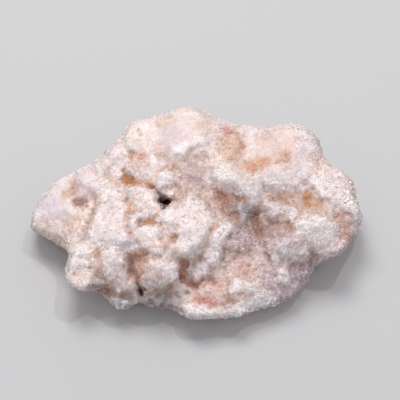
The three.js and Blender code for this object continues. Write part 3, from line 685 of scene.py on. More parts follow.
# The stone's colours, in linear light
palette = {
    "white": (0.90, 0.82, 0.82),
    "pinkWhite": (0.86, 0.725, 0.705),
    "pink": (0.78, 0.55, 0.51),
    "peach": (0.84, 0.66, 0.59),
    "cream": (0.88, 0.76, 0.70),
    "lavender": (0.78, 0.67, 0.70),
    "mauve": (0.54, 0.39, 0.39),
    "violet": (0.58, 0.45, 0.51),
    "glassGrey": (0.40, 0.35, 0.36),   # clear stone with little white in it
    "tan": (0.62, 0.42, 0.32),
    "orange": (0.68, 0.38, 0.26),
    "ochre": (0.53, 0.28, 0.17),
    "rust": (0.57, 0.33, 0.265),
    "red": (0.66, 0.30, 0.24),
    "redBrown": (0.34, 0.17, 0.13),
    "brown": (0.39, 0.25, 0.21),
    "deep": (0.09, 0.03, 0.03),        # painted shade: near black, for the holes and pits that lie in deep shade
    # the crevices' brown stain, darkened further as painted shade
    "creviceStainAndShade": (0.42, 0.25, 0.20),
}

# Broad tints of the front, a few white ones painted light: colour, strength, radius, then the middle
# across and up
tints = (
    ("mauve", 0.42, 16, (24, -20)), ("mauve", 0.4, 10, (38, -20)), ("mauve", 0.4, 9, (16, 0)),
    ("mauve", 0.3, 8, (-26, -24)), ("mauve", 0.3, 8, (-12, -27)), ("mauve", 0.3, 8, (30, -9)),
    ("lavender", 0.7, 7, (-52, 2)), ("lavender", 0.5, 6, (-46, 10)), ("white", 0.5, 4, (-48, 12)),
    ("tan", 0.4, 5, (-44, -4)), ("peach", 0.5, 4, (-46, -9)), ("pink", 0.35, 5, (-54, -6)),
    ("lavender", 0.7, 5, (-38, 10)), ("lavender", 0.5, 4, (-29, 21)), ("white", 0.6, 5, (-32, 8)),
    ("pinkWhite", 0.8, 7, (-31, -3)), ("white", 0.8, 3.5, (-26, -10)), ("pinkWhite", 0.8, 5, (-17, 5)),
    ("pinkWhite", 0.8, 4, (-16, -8)), ("white", 0.6, 3, (-16, -6)), ("pinkWhite", 0.9, 4, (-9, 0)),
    ("white", 0.7, 3, (-10, -1)), ("pinkWhite", 0.9, 4, (0, 4)), ("pinkWhite", 0.8, 7, (-1, -7)),
    # painted light: the white tint at (-1, -11) lifts the shaded lower flank
    ("white", 0.5, 4, (-1, -11)), ("pinkWhite", 0.7, 4, (11, -6)), ("lavender", 0.8, 4, (7, -14)),
    ("lavender", 0.6, 3, (5, -18)), ("pinkWhite", 0.8, 4, (-40, -14)), ("white", 0.6, 3, (-42, -18)),
    ("peach", 0.6, 3.5, (-39.5, -22)), ("cream", 0.5, 3, (-34, -12)), ("lavender", 0.6, 5, (-27, -18)),
    ("mauve", 0.35, 4, (-27, -23)), ("lavender", 0.6, 4, (-10, -19)), ("mauve", 0.35, 4, (-14, -22)),
    ("pinkWhite", 0.6, 3, (-8, -20)), ("glassGrey", 0.85, 4, (-25, -31.5)),
    ("glassGrey", 0.95, 4.5, (-13, -31)), ("glassGrey", 0.2, 4, (-7, -29)), ("cream", 0.8, 6, (-21, 27)),
    ("cream", 0.6, 6, (-4, 34)), ("lavender", 0.7, 4.5, (-9, 28)), ("white", 0.9, 3.5, (-5, 22.5)),
    ("white", 0.6, 4, (3, 27)), ("lavender", 0.5, 3, (-20, 14)), ("white", 0.7, 2.5, (-15, 19)),
    ("lavender", 0.6, 4, (-10, 12)), ("mauve", 0.45, 7, (1, 16)), ("mauve", 0.5, 6, (0, 10)),
    ("tan", 0.3, 6, (2, 18)), ("peach", 0.6, 5, (12, 23)), ("tan", 0.75, 5, (12.5, 24)),
    ("cream", 0.7, 5, (11, 14)), ("white", 0.5, 4, (10, 12.5)), ("lavender", 0.5, 5, (20, 10)),
    ("cream", 0.6, 4, (20, 12.5)), ("cream", 0.4, 5, (29, 12)), ("lavender", 0.6, 5, (30, 11)),
    ("lavender", 0.6, 4, (20, 8)), ("peach", 0.6, 6, (34, 25)), ("pinkWhite", 0.5, 5, (22, 26)),
    ("lavender", 0.8, 6, (41, 23)), ("lavender", 0.5, 5, (38, 14)), ("peach", 0.6, 5, (45, 18)),
    ("pinkWhite", 0.7, 6, (50, 10)), ("white", 0.5, 4, (46, 9)), ("lavender", 0.5, 4, (50, 4)),
    ("lavender", 0.7, 5, (57, 0)), ("lavender", 0.5, 4, (17, 2)), ("lavender", 0.6, 3.5, (27.5, 1.5)),
    ("pinkWhite", 0.6, 6, (43, -5)), ("white", 0.6, 2.5, (38, -6)), ("lavender", 0.6, 6, (48, -12)),
    ("lavender", 0.6, 5, (33, -11)), ("white", 0.5, 2, (33, -14)), ("mauve", 0.5, 5, (17, -9)),
    ("pink", 0.35, 6, (16, -17)), ("lavender", 0.3, 5, (25, -18)), ("white", 0.8, 4, (16.5, -26)),
    ("white", 0.6, 3, (32, -22.5)), ("mauve", 0.5, 5, (38, -22)), ("mauve", 0.5, 6, (31, -28)),
    ("lavender", 0.4, 4, (26, -29)), ("pink", 0.6, 7, (6, -28)), ("white", 0.7, 4, (3, -36)),
    ("white", 0.6, 4, (13, -35)), ("pink", 0.5, 4, (21, -31)), ("glassGrey", 0.6, 3.4, (17, 2)),
    ("tan", 0.5, 3.5, (10, 4)), ("lavender", 0.6, 3, (27.5, 1)), ("mauve", 0.4, 5, (33, -11)),
    ("mauve", 0.45, 5, (18, -9)), ("mauve", 0.35, 6, (16, -17)), ("mauve", 0.4, 5, (25, -18)),
    ("tan", 0.6, 3, (-21.5, -21)), ("glassGrey", 0.9, 3.4, (-14, -31)), ("pink", 0.4, 4, (-20, 14)),
    ("mauve", 0.35, 5, (0, 10)), ("lavender", 0.5, 3, (11, -5)), ("mauve", 0.35, 4, (-27, -20)),
    ("peach", 0.4, 4, (24, 24)), ("mauve", 0.5, 6, (8, 5)), ("tan", 0.35, 5, (12, 6)),
    # painted light: the pinkWhite tint at (21, -32) lifts the downward-facing bottom rim
    ("mauve", 0.6, 5, (14, 0)), ("pinkWhite", 0.6, 4, (21, -32)), ("brown", 0.4, 4, (22, -5)),
    ("lavender", 0.6, 4.5, (-9, 28)), ("peach", 0.5, 4, (4, 30)), ("glassGrey", 0.8, 4.4, (17, 2)),
    # painted light: the pinkWhite tint at (21, -32) lifts the bottom rim
    ("brown", 0.4, 4, (10, 4)), ("white", 0.7, 3.5, (32, -22.5)), ("pinkWhite", 0.95, 5.5, (21, -32)),
    ("white", 0.5, 4, (-13, 30)), ("cream", 0.6, 4, (12, 11.5)), ("cream", 0.5, 4, (20, 9)),
    ("mauve", 0.3, 6, (28, -20)), ("pink", 0.4, 8, (17, -19)), ("violet", 0.7, 6, (38, -22)),
    ("violet", 0.42, 7, (31, -28)), ("mauve", 0.3, 4.5, (-9, 28)), ("mauve", 0.26, 13, (-1, 33)),
    # painted light: the white tints at (43, -5) and (-1, -9) lift shaded faces
    ("mauve", 0.22, 12, (26, 25)), ("white", 0.5, 5, (43, -5)), ("white", 0.5, 5, (-1, -9)),
    ("white", 0.5, 4, (-40, -14)), ("white", 0.5, 3, (-37, -24)), ("white", 0.5, 3, (-43, -20)),
    ("white", 0.7, 2.5, (-8.5, -23)), ("white", 0.6, 2.5, (8, -17.5)), ("pinkWhite", 0.6, 3, (22, -26.5)),
    # painted light: the white tint at (46, -8) lifts the face under the lip
    ("mauve", 0.3, 3, (-12, -24)), ("white", 0.4, 4, (46, -8)), ("mauve", 0.3, 3.5, (-20, 14)),
    ("lavender", 0.5, 4, (-40, 10)), ("pink", 0.35, 4.5, (13, 24)), ("brown", 0.45, 3, (-14, -31.5)),
    # painted light: the white tint at (21.5, -32.5) lifts the bottom rim
    ("white", 1.0, 6, (21.5, -32.5)), ("tan", 0.25, 4, (3, 32)), ("tan", 0.25, 3, (-12, 32)),
    ("mauve", 0.3, 5, (40, 2)), ("mauve", 0.35, 4, (17, 17)), ("mauve", 0.22, 5, (-44, 8)),
    ("pink", 0.5, 3, (3, -27)), ("mauve", 0.3, 6, (26, 0)), ("white", 0.6, 3, (-36, -23.5)),
    # painted light: the white tint at (45, -7) lifts the face under the lip
    ("white", 0.5, 3, (-31.5, -22)), ("white", 0.6, 5, (45, -7)), ("white", 0.5, 3, (12, -13)),
    ("white", 0.4, 3.5, (31, -25)), ("white", 0.5, 3, (-22, 22.8)), ("white", 0.5, 2.5, (-24, 6.5)),
    ("white", 0.5, 4, (19, -28)), ("mauve", 0.3, 6, (35, 2)), ("pink", 0.6, 4, (6, -26)),
    ("mauve", 0.4, 3.5, (54, -9)), ("mauve", 0.3, 4, (14, 17)), ("tan", 0.5, 3, (16, 18.5)),
    ("mauve", 0.3, 3, (-10, 19)), ("mauve", 0.25, 3, (-24, 18)), ("tan", 0.35, 4, (-31, -26)),
    ("tan", 0.5, 2, (0, -18)), ("red", 0.4, 3, (12, 29.5)),
)

# Stains of the front, and painted light and shade along lines: colour, strength, width, the line it
# follows
stainsAndPaintedLight = (
    ("rust", 0.95, 1.0, ((-22, 10.9), (-19.5, 10.7), (-17, 10.8), (-15.2, 9.8))),
    ("tan", 0.6, 1.6, ((-17.5, 11.4), (-15.6, 11.2))),
    ("redBrown", 0.6, 0.5, ((-19.6, -4.2), (-16, -3.9), (-13, -3.8))),
    ("orange", 0.7, 1.5, ((-23, 3.2), (-22.4, 0.8))),
    ("tan", 0.5, 1.0, ((-24, -1), (-23.6, -4))),
    ("rust", 0.55, 1.1, ((-25.2, -5), (-23.6, -6), (-22.6, -7.4))),
    ("orange", 1.0, 1.1, ((-9, -9), (-7.4, -8.8))),
    ("tan", 0.6, 1.2, ((-9.6, -9.6), (-9.8, -12.5), (-8.8, -14.6))),
    ("pink", 0.5, 2.0, ((-10, -7), (-9.8, -12))),
    ("pink", 0.6, 1.5, ((-25.5, -14), (-23, -14.6))),
    ("tan", 0.4, 1.6, ((-15.6, -15.8), (-14, -16))),
    ("brown", 0.95, 2.0, ((-35.6, -27.2), (-33, -27.6), (-30.6, -27.4))),
    ("brown", 0.6, 0.7, ((-30.2, -29.6), (-26, -29.4), (-21.6, -29.6))),
    ("tan", 0.55, 1.8, ((-34.4, -13), (-33.8, -17), (-34, -20.8))),
    ("pink", 0.7, 1.0, ((-33.4, -16), (-33.8, -20.6))),
    ("peach", 0.7, 1.8, ((-40.6, -22), (-39, -22.2))),
    ("tan", 0.35, 0.7, ((7.8, -4), (6.4, -7), (4.8, -10), (3, -13), (1, -16))),
    ("rust", 0.5, 0.8, ((8.4, -4.4), (7.4, -5.6))),
    ("brown", 0.6, 1.4, ((2.2, -14.4), (0.6, -16.6))),
    ("tan", 0.5, 3.0, ((12, 26), (13.5, 23), (15.5, 22))),
    ("rust", 0.6, 1.0, ((17.8, 24), (16.8, 21.8))),
    ("tan", 0.6, 2.4, ((21, 17), (25, 18))),
    ("tan", 0.5, 2.4, ((30.6, 20.6), (33, 21))),
    ("tan", 0.45, 2.0, ((25.4, 27.6), (27.4, 28.2))),
    ("peach", 0.6, 2.6, ((33, 23), (35, 26))),
    ("tan", 0.5, 1.8, ((-20.4, 19), (-18.4, 18.4))),
    ("brown", 0.45, 1.1, ((-14, 22), (-12, 20.8), (-10, 19.4))),
    ("tan", 0.45, 1.4, ((-9, 18.6), (-6.6, 17.2), (-5.6, 15.4))),
    ("brown", 0.7, 0.4, ((-20, 30.6), (-18.8, 28.4))),
    ("tan", 0.5, 1.6, ((-13, 31.8), (-10, 33.4), (-8, 34))),
    ("tan", 0.5, 1.4, ((3.6, 5), (5.4, 5.4))),
    ("rust", 0.75, 1.3, ((14.8, 5.6), (16.8, 5), (17.6, 4.4))),
    ("brown", 0.5, 2.4, ((24.4, -6), (28, -6.4), (33, -6.4))),
    ("rust", 0.5, 1.4, ((31.5, -4.5), (34, -5))),
    ("orange", 0.6, 1.0, ((33.8, -4.4), (34.6, -5.6))),
    ("brown", 0.6, 1.6, ((24, -10.4), (25, -12.8), (26, -15))),
    ("rust", 0.45, 1.8, ((25.4, 7.6), (28, 7), (32, 6.8), (36, 6.8))),
    ("brown", 0.35, 1.6, ((29, 4.6), (34, 4))),
    ("orange", 0.5, 0.9, ((38.4, 0.2), (38.8, 2.4))),
    ("tan", 0.5, 1.8, ((45.8, 2.4), (48.4, 0.6), (50.6, -0.8))),
    ("pink", 0.6, 3.0, ((53, -2.4), (54.4, -6), (53.4, -9.4))),
    # painted shade: the mauve line in the shadow under the lump
    ("mauve", 0.8, 2.2, ((31, -17), (35, -17.8), (39, -19))),
    ("brown", 0.4, 2.0, ((37, -18.4), (40, -18))),
    ("mauve", 0.6, 2.2, ((-40.6, 6.6), (-38, 6))),
    ("tan", 0.9, 2.0, ((-46.4, 6.2), (-43.8, 7.6), (-43.4, 10))),
    ("brown", 0.5, 1.0, ((-43.6, 8.6), (-43, 7))),
    ("mauve", 0.5, 1.6, ((-43, 11.4), (-42, 9))),
    ("brown", 0.5, 0.9, ((-36.4, 1), (-36.8, -0.4))),
    ("tan", 0.5, 1.3, ((-36.8, -1), (-38, -3.4), (-39.4, -6.6))),
    ("tan", 0.5, 1.1, ((-35.4, 4.6), (-33.4, 4.2))),
    ("tan", 0.5, 1.0, ((-31.4, 14.4), (-30.4, 12.2))),
    ("pink", 0.6, 3.0, ((1, -28.6), (6, -28.4), (10, -29.6))),
    ("tan", 0.5, 2.4, ((15.4, -21), (19, -21.4))),
    ("rust", 0.4, 2.0, ((15.6, -20.4), (18, -19), (20, -19.4))),
    ("tan", 0.5, 1.2, ((11, -23.2), (12, -24.4))),
    ("redBrown", 0.75, 1.0, ((-2.8, -28.2), (-2, -27.8))),
    ("brown", 0.6, 1.3, ((-12, -28.2), (-9.4, -27.2), (-6.4, -29))),
    # painted shade: the near-black dot of a pit
    ("deep", 1.0, 0.4, ((21.9, -19.8), (22, -20))),
    # painted light: the white lines lift the lip's front, the ledges' edges and the faces under the lip
    # and the lumps, which lie in shade
    ("white", 0.6, 2.4, ((6.5, 12.2), (10, 10.8), (14, 10.4), (18, 8), (22, 7), (25, 10), (30, 10),
        (36, 10))),
    ("white", 0.8, 2.0, ((-8, 20.5), (-4, 22), (0, 24), (2, 25.4))),
    ("white", 1.0, 1.8, ((5.5, 12.6), (9, 11.2), (13, 9.4), (17, 8.2), (20.6, 6.4))),
    ("white", 0.9, 2.4, ((29, -14.5), (33, -15), (38, -15.5), (41, -12.6))),
    ("white", 1.0, 1.8, ((-36, -9.6), (-30, -10.2), (-25, -11.4), (-21, -11))),
    ("white", 1.0, 2.0, ((-2, -35.5), (4, -37), (10, -37.2), (16, -36.5))),
    ("white", 0.9, 1.6, ((57.4, 4), (59, 0), (58, -5))),
    ("peach", 0.8, 1.8, ((-55, -6.5), (-50, -8.5), (-45, -10.5))),
    ("orange", 0.9, 1.2, ((17.8, 16.6), (19.2, 16), (21, 17.2))),
    ("tan", 0.3, 1.6, ((-7.4, -12.5), (-6, -15), (-3, -16.4))),
    ("brown", 0.8, 2.0, ((11.5, 1), (14, -1.5), (16.5, -4))),
    ("brown", 0.9, 1.5, ((-42, 3), (-39.5, 2.4))),
    ("brown", 0.6, 1.8, ((-6.6, 5), (-5, 8.4))),
    ("rust", 0.75, 2.2, ((-19.5, -17), (-18, -19), (-19, -22))),
    ("tan", 0.8, 2.2, ((38, 2.6), (42, 3), (45, 1))),
    ("rust", 0.8, 1.1, ((15.4, 28.4), (16.4, 26), (17.4, 24))),
    ("rust", 0.6, 1.2, ((29.6, 19), (31.4, 18))),
    # painted light: a white line along the lip
    ("white", 0.8, 1.6, ((30, 9.6), (36, 9.2), (43, 9.8))),
    ("orange", 0.7, 1.2, ((22, 15.6), (25, 16.4))),
    ("rust", 0.6, 1.4, ((12.4, -30.6), (15, -30.4), (17.4, -29.6))),
    ("rust", 0.5, 1.4, ((5, -30.6), (7, -31.6))),
    ("cream", 0.6, 1.6, ((-56, -5.4), (-50, -8), (-46, -9.6))),
    # painted light: the white lines here lie along shaded lower edges and the bottom rim
    ("white", 0.7, 1.6, ((-9, -14), (-5, -14.6), (0, -13.6), (3, -10))),
    ("white", 0.8, 1.8, ((7, -16.6), (9, -18.6))),
    ("orange", 0.5, 1.6, ((-21, -14.6), (-18, -14))),
    ("white", 1.0, 2.2, ((17, -33.6), (21, -32.6), (26, -31))),
    ("white", 0.7, 1.4, ((-24.6, -15.6), (-24.6, -17.6))),
)

# Patches of the front, the deep ones painted shade in holes and pits: colour, strength, softness of the
# edge, outline across and up
patches = (
    ("glassGrey", 0.6, 1.3, ((12.5, 4.2), (16, 4.4), (19.6, 3.6), (20.6, 0), (20.4, -4), (17, -4.4),
        (14.6, -1.6), (12.4, 1))),
    ("mauve", 1.0, 1.2, ((23.4, -3.4), (26, -3.9), (31, -4.3), (34, -5.5), (33, -8), (28, -8.8),
        (24, -9))),
    # painted shade: the deep hole
    ("deep", 1.0, 0.3, ((-12.9, 5), (-11.8, 5.6), (-11, 4.4), (-9.6, 4.8), (-8, 3.4), (-9, 2.4),
        (-10.3, 1.2), (-11.8, 1.6), (-12.5, 3))),
    ("redBrown", 0.85, 0.5, ((-15.3, 9.2), (-13, 8.3), (-11.5, 6.8), (-12.5, 5.6), (-14, 7))),
    ("tan", 0.7, 0.8, ((-7.5, 4.2), (-6.5, 6), (-5.5, 8.5), (-4, 9.5), (-4.5, 6.5), (-5.5, 4.2))),
    ("ochre", 0.95, 0.5, ((-18.8, -3.9), (-17.6, -2.6), (-16, -1.4), (-14, -2.4), (-12.8, -3.7),
        (-16, -3.9))),
    ("rust", 1.0, 0.7, ((-22.5, -16.3), (-21, -15.2), (-18.5, -14.4), (-17.4, -15.6), (-18.4, -17.2),
        (-21, -17.4))),
    ("brown", 0.75, 0.8, ((-24.5, -18), (-22, -18.5), (-20.5, -19.5), (-20.5, -22), (-22.5, -21.5),
        (-24, -20))),
    ("redBrown", 0.7, 0.8, ((-21.5, -22), (-19.8, -22), (-19, -24.5), (-20, -26.5), (-21.3, -25))),
    # painted shade: the hole at the bottom
    ("deep", 0.9, 0.5, ((-20.3, -27), (-18.8, -26.3), (-17.2, -27.2), (-17.8, -28.6), (-19, -29.8),
        (-20, -29))),
    ("rust", 1.0, 0.5, ((-6.2, -16), (-5, -16.8), (-3.8, -15.8), (-2.2, -16.2), (-1.6, -18),
        (-2.5, -19.5), (-2.3, -21.5), (-1.2, -23.3), (1.5, -24.2), (4.5, -24.5), (3.5, -26.3),
        (0, -26.8), (-2.8, -26), (-5.3, -24.6), (-5.2, -22), (-5.5, -20), (-5, -18))),
    # painted shade: a small pit
    ("deep", 0.7, 0.4, ((-5.6, -22.3), (-4.9, -22), (-4.8, -23.6), (-5.5, -23.8))),
    ("brown", 1.0, 1.0, ((20.3, 1.5), (22.4, 2.0), (23.2, 0.5), (22.8, -2.8), (26, -4.2), (24, -4.9),
        (24, -8), (22.5, -9.5), (20.8, -7), (20.5, -3))),
    ("rust", 0.95, 1.2, ((6, 9.4), (8.5, 8.6), (11.5, 7.4), (14.5, 6.8), (17.5, 6), (16, 4.6),
        (12.5, 4.8), (11, 2.5), (12.5, 0.5), (15, -1), (15.8, -3.2), (13.5, -2), (11.5, 0.5), (9.5, 3),
        (8, 5.5), (6.5, 7.5))),
    ("brown", 0.95, 1.0, ((8, 8), (10.5, 6), (11, 3), (9.5, 4), (8, 6))),
    ("tan", 0.6, 1.0, ((25.2, 8.2), (27, 7.8), (31, 7.4), (36, 7), (37.5, 6), (33, 5.8), (28, 6),
        (25.6, 6.4))),
    ("tan", 1.0, 1.6, ((38.5, 7), (41, 7.4), (44, 5), (46.5, 3), (45, 1.4), (42, 1.6), (39.5, 2.5))),
    ("ochre", 0.85, 1.0, ((38.8, 6.5), (40.5, 7.2), (42.6, 5), (41.4, 2.6), (40, 1.4), (39.2, 3.4))),
    ("rust", 0.55, 1.4, ((50.5, 0.4), (53, -0.6), (56.8, -2), (57.4, -6), (55.8, -9.5), (53.4, -9.5),
        (52, -5), (50.5, -2))),
    ("brown", 0.85, 0.4, ((25.6, -15.4), (26.4, -15.2), (27.8, -17.2), (27.6, -18.6), (26.3, -17.2))),
    ("rust", 0.75, 0.8, ((41, -13), (43.8, -13.2), (43.6, -15.5), (41.8, -17), (41, -15.5))),
    ("brown", 0.95, 0.7, ((-43.6, 4.6), (-42.5, 5.2), (-39.5, 5), (-38.5, 3.6), (-40, 2.4),
        (-42.3, 2.6))),
    ("ochre", 1.0, 0.8, ((-27, 12.6), (-25.6, 14.4), (-23.2, 13.4), (-20.6, 11.8), (-22, 9.8),
        (-25, 10))),
    # painted shade: the black spot of the crack
    ("deep", 0.8, 0.4, ((-26.5, 15.9), (-25.7, 16), (-25.4, 14.6), (-26.2, 14.4))),
    ("orange", 0.9, 1.0, ((17.8, 16), (18.6, 18.2), (21, 19.2), (24, 20), (27, 20), (26, 18), (23.5, 16),
        (20.5, 14.8))),
    ("rust", 1.0, 1.4, ((30, 18.5), (32, 22), (34.5, 21.5), (33.5, 18.5))),
    ("rust", 0.95, 1.2, ((9.8, 31), (14.5, 30.6), (14.8, 28.3), (11, 28))),
    ("rust", 0.95, 0.8, ((14.5, 28.6), (16.4, 28.2), (16.6, 25.4), (15, 25.4))),
    ("red", 0.8, 1.0, ((-23.3, 21.6), (-20, 21.7), (-17, 21.2), (-17.6, 19), (-20, 18.8), (-22.5, 19.6))),
    ("red", 1.0, 1.0, ((-0.4, -29.8), (2, -29.7), (5, -30.6), (8, -31.6), (7.4, -33), (4, -32.3),
        (1, -31.3))),
    ("rust", 0.85, 1.0, ((11.3, -29.6), (13.5, -30.2), (16, -30.6), (15.5, -32), (13, -32.4),
        (11.6, -31.2))),
    ("pink", 0.7, 1.0, ((16, -28.6), (20, -28.4), (20, -30.3), (17, -30.6))),
    ("red", 0.35, 1.5, ((4.8, -22.8), (6.5, -22.4), (9.8, -24.2), (9.5, -26.4), (6.6, -26.8),
        (5.4, -24.8))),
    ("brown", 0.25, 0.8, ((12.2, -6), (14, -5.8), (14.2, -9), (12.4, -9))),
    ("rust", 0.7, 0.9, ((30.6, -4.6), (33.4, -4.4), (35, -5.4), (34, -6.8), (31.6, -6))),
    ("brown", 0.7, 0.9, ((23.6, -3.4), (26, -4), (30, -4.4), (30.6, -6), (27, -6.4), (24, -7))),
)

# What lies beneath and between the tints, stains and patches
colouring = {
    "base": "pinkWhite",
    "strength": 1.17,                  # the difference of every colour from the base times this
    "facing": (-0.1, 0.3),             # how far out a face looks where these colours start, and are full
    "broad": (9.0, 21),                # the variations: size, seed
    "fine": (2.2, 22),
    "edges": (0.9, 23),
    "specks": (1.3, 24),
    "broadTints": (                    # colour, where in the variation it starts and is full, strength
        ("lavender", 0.0, 0.5, 0.6), ("peach", 0.05, 0.5, 0.6), ("cream", 0.05, 0.5, 0.4),
    ),
    "fineShare": 0.3,                  # how much of the fine variation is added to the broad one
    "speckTints": (("glassGrey", 0.0, 0.4, 0.2), ("white", 0.0, 0.4, 0.4)),
    "sunkRounds": ((12, 0.35), (60, 0.9), (160, 1.8)),     # rounds of smoothing, depth that counts as full
    "hollowShadeAndRidgeLight": (                     # painted shade in the hollows, tan and brown like their stains, and painted light in white on the ridges: colour, 1 for hollows and -1 for ridges, start, end, strength
        ("tan", 1, 0.15, 0.6, 0.5), ("creviceStainAndShade", 1, 0.35, 1.0, 0.7), ("white", -1, 0.1, 0.7, 0.5),
    ),
    "creaseShade": ("tan", 0.35),            # painted shade in tan along the thin creases of the lumps
    "tintWander": 1.1,                 # how far the tints wander
    "tintFade": (0.45, 1.25),          # where a tint starts to fade and where it ends, times its radius
    "edgeWander": 0.4,                 # how far the edges of the lines and patches wander
    "lineFade": (0.2, 1.7),           # the same as tintFade for a line of stain or painted light, times its width
    "broken": (-0.3, 0.2),             # how the lines and patches break up into specks: start, end
    "brokenLeast": 0.5,                # how much of them is left between specks
    "whole": ("deep", "ochre"),        # patches that don't break up
}


def mixInto(colours, name, share):
    colours += (np.array(palette[name]) - colours) * share[:, None]


# How sunk each place lies, from what smoothing over wider and wider reaches does to it
def sunkOf(places, normals, smooth):
    sunk = np.full(len(places), -1.0)
    for rounds, full in colouring["sunkRounds"]:
        depth = ((smooth(places, rounds) - places) * normals).sum(1)
        sunk = np.maximum(sunk, np.clip(depth / full, -1, 1))
    return smooth(sunk, times=1)


def paint(mesh):
    places, normals = placesOf(mesh), normalsOf(mesh)
    smooth = smoother(mesh)
    broad, fine, edges, specks = (noiseVectors(places, *colouring[name])
                                  for name in ("broad", "fine", "edges", "specks"))
    shown = ease(smooth(normals, times=6) @ outAxis, *colouring["facing"])
    base = np.array(palette[colouring["base"]])
    colours = np.tile(base, (len(places), 1))
    broad = broad + colouring["fineShare"] * fine
    for k, (name, start, end, strength) in enumerate(colouring["broadTints"]):
        mixInto(colours, name, ease(broad[:, k], start, end) * strength)
    points = frontPlaces(places) + fine[:, :2] * colouring["tintWander"]
    # broad tints, a few of them painted light
    for name, strength, radius, middle in tints:
        far = np.linalg.norm(points - np.array(middle), axis=1) / radius
        mixInto(colours, name, strength * shown * (1 - ease(far, *colouring["tintFade"])))
    # painted shade in the hollows and painted light on the ridges, by how sunk each place lies
    sunk = sunkOf(places, normals, smooth)
    for name, side, start, end, strength in colouring["hollowShadeAndRidgeLight"]:
        mixInto(colours, name, ease(sunk * side, start, end) * strength)
    mottled = spotShare(frontPlaces(places), calmSpots)
    for k, (name, start, end, strength) in enumerate(colouring["speckTints"]):
        mixInto(colours, name, mottled * ease(specks[:, k], start, end) * strength)
    points = wandered(places) + edges[:, :2] * colouring["edgeWander"]
    # painted shade along the lumps' creases
    name, strength = colouring["creaseShade"]
    mixInto(colours, name, shown * strength * readGrid(creaseShade, points, stone["reliefStep"]))
    least = colouring["brokenLeast"]
    broken = least + (1 - least) * ease(specks[:, 0] + specks[:, 2], *colouring["broken"])
    # stains, and painted light and shade along lines
    for name, strength, width, line in stainsAndPaintedLight:
        far = lineDistance(points, line) / width
        mixInto(colours, name, strength * shown * broken * (1 - ease(far, *colouring["lineFade"])))
    for name, strength, soft, outline in patches:
        whole = 1.0 if name in colouring["whole"] else broken
        far = -insideDistance(points, outline)
        mixInto(colours, name, strength * shown * whole * (1 - ease(far, -soft, soft)))
    colours = base + (colours - base) * colouring["strength"]
    rows = np.column_stack((np.clip(colours, 0, 1), np.ones(len(colours))))
    mesh.attributes.new("tint", "FLOAT_COLOR", "POINT").data.foreach_set("color", rows.ravel())


paint(body.data)
print("colours laid on")

# The finishes, with lengths in metres
finish = {
    "ior": 1.544,
    "bodyRoughness": (0.35, 0.6),
    "bodyGlow": 0.6,                   # how much light goes into the stone and comes out again
    "bodyDepth": 0.0012,
    "bleed": (1.0, 0.72, 0.62),        # how far red, green and blue go
    "grain": (0.0006, 3.0),            # size and detail of the fine grain in the body's colour and bump
    "grainShade": (0.93, 1.05),
    "bodyBump": (0.5, 0.00012),        # strength, height
    "gloss": (0.004, 2.0),             # size and detail of the duller and shinier patches
    "crystalRoughness": (0.1, 0.45),
    "crystalShade": (0.88, 1.1),       # darkest and lightest crystals
    "crystalGrain": (0.00025, 2.0),
    "crystalBump": (0.25, 0.0001),
    "evenness": (0.78, 0.05),          # how far dull crystals are shaded like the skin, and glinting ones
    "dullShare": 0.72,
}


def addNode(tree, kind, inputs, **settings):
    node = tree.nodes.new(kind)
    for key, value in settings.items():
        setattr(node, key, value)
    setInputs(node, inputs)
    return node


def mapped(tree, value, low, high, start=0.0):
    inputs = {"Value": value, "From Min": start, "To Min": low, "To Max": high}
    return addNode(tree, "ShaderNodeMapRange", inputs).outputs["Result"]


def namedValue(tree, name, output):
    return addNode(tree, "ShaderNodeAttribute", {}, attribute_name=name).outputs[output]


def tintShaded(tree, factor):
    inputs = {"Vector": namedValue(tree, "tint", "Color"), "Scale": factor}
    return addNode(tree, "ShaderNodeVectorMath", inputs, operation="SCALE").outputs["Vector"]


def grainNoise(tree, size, detail):
    place = addNode(tree, "ShaderNodeTexCoord", {}).outputs["Object"]
    inputs = {"Vector": place, "Scale": 1 / size, "Detail": detail}
    return addNode(tree, "ShaderNodeTexNoise", inputs).outputs["Fac"]


def bumped(tree, grain, strength, height):
    inputs = {"Height": grain, "Strength": strength, "Distance": height}
    return addNode(tree, "ShaderNodeBump", inputs).outputs["Normal"]


def bodyMaterial():
    material, tree, shader = newMaterial("milkyQuartz", {
        "IOR": finish["ior"],
        "Subsurface Weight": finish["bodyGlow"],
        "Subsurface Radius": finish["bleed"],
        "Subsurface Scale": finish["bodyDepth"],
    })
    grain = grainNoise(tree, *finish["grain"])
    setInputs(shader, {
        "Base Color": tintShaded(tree, mapped(tree, grain, *finish["grainShade"])),
        "Roughness": mapped(tree, grainNoise(tree, *finish["gloss"]), *finish["bodyRoughness"]),
        "Normal": bumped(tree, grain, *finish["bodyBump"]),
    })
    return material


# Crystals take most of their shading from the skin beneath, so that they read as one crust,
# and the few that glint take it from their own faces
def crystalMaterial():
    material, tree, shader = newMaterial("crystalQuartz", {"IOR": finish["ior"]})
    shade = namedValue(tree, "shade", "Fac")
    evenness = mapped(tree, shade, *finish["evenness"], finish["dullShare"])
    bump = bumped(tree, grainNoise(tree, *finish["crystalGrain"]), *finish["crystalBump"])
    lay = namedValue(tree, "lay", "Vector")
    blend = addNode(tree, "ShaderNodeMix", {0: evenness, 4: bump, 5: lay}, data_type="VECTOR").outputs[1]
    setInputs(shader, {
        "Base Color": tintShaded(tree, mapped(tree, shade, *finish["crystalShade"])),
        "Roughness": mapped(tree, shade, *finish["crystalRoughness"]),
        "Normal": addNode(tree, "ShaderNodeVectorMath", {0: blend}, operation="NORMALIZE").outputs[0],
    })
    return material


body.data.materials.clear()
body.data.materials.append(bodyMaterial())
crystalStone = crystalMaterial()
print("finishes made")

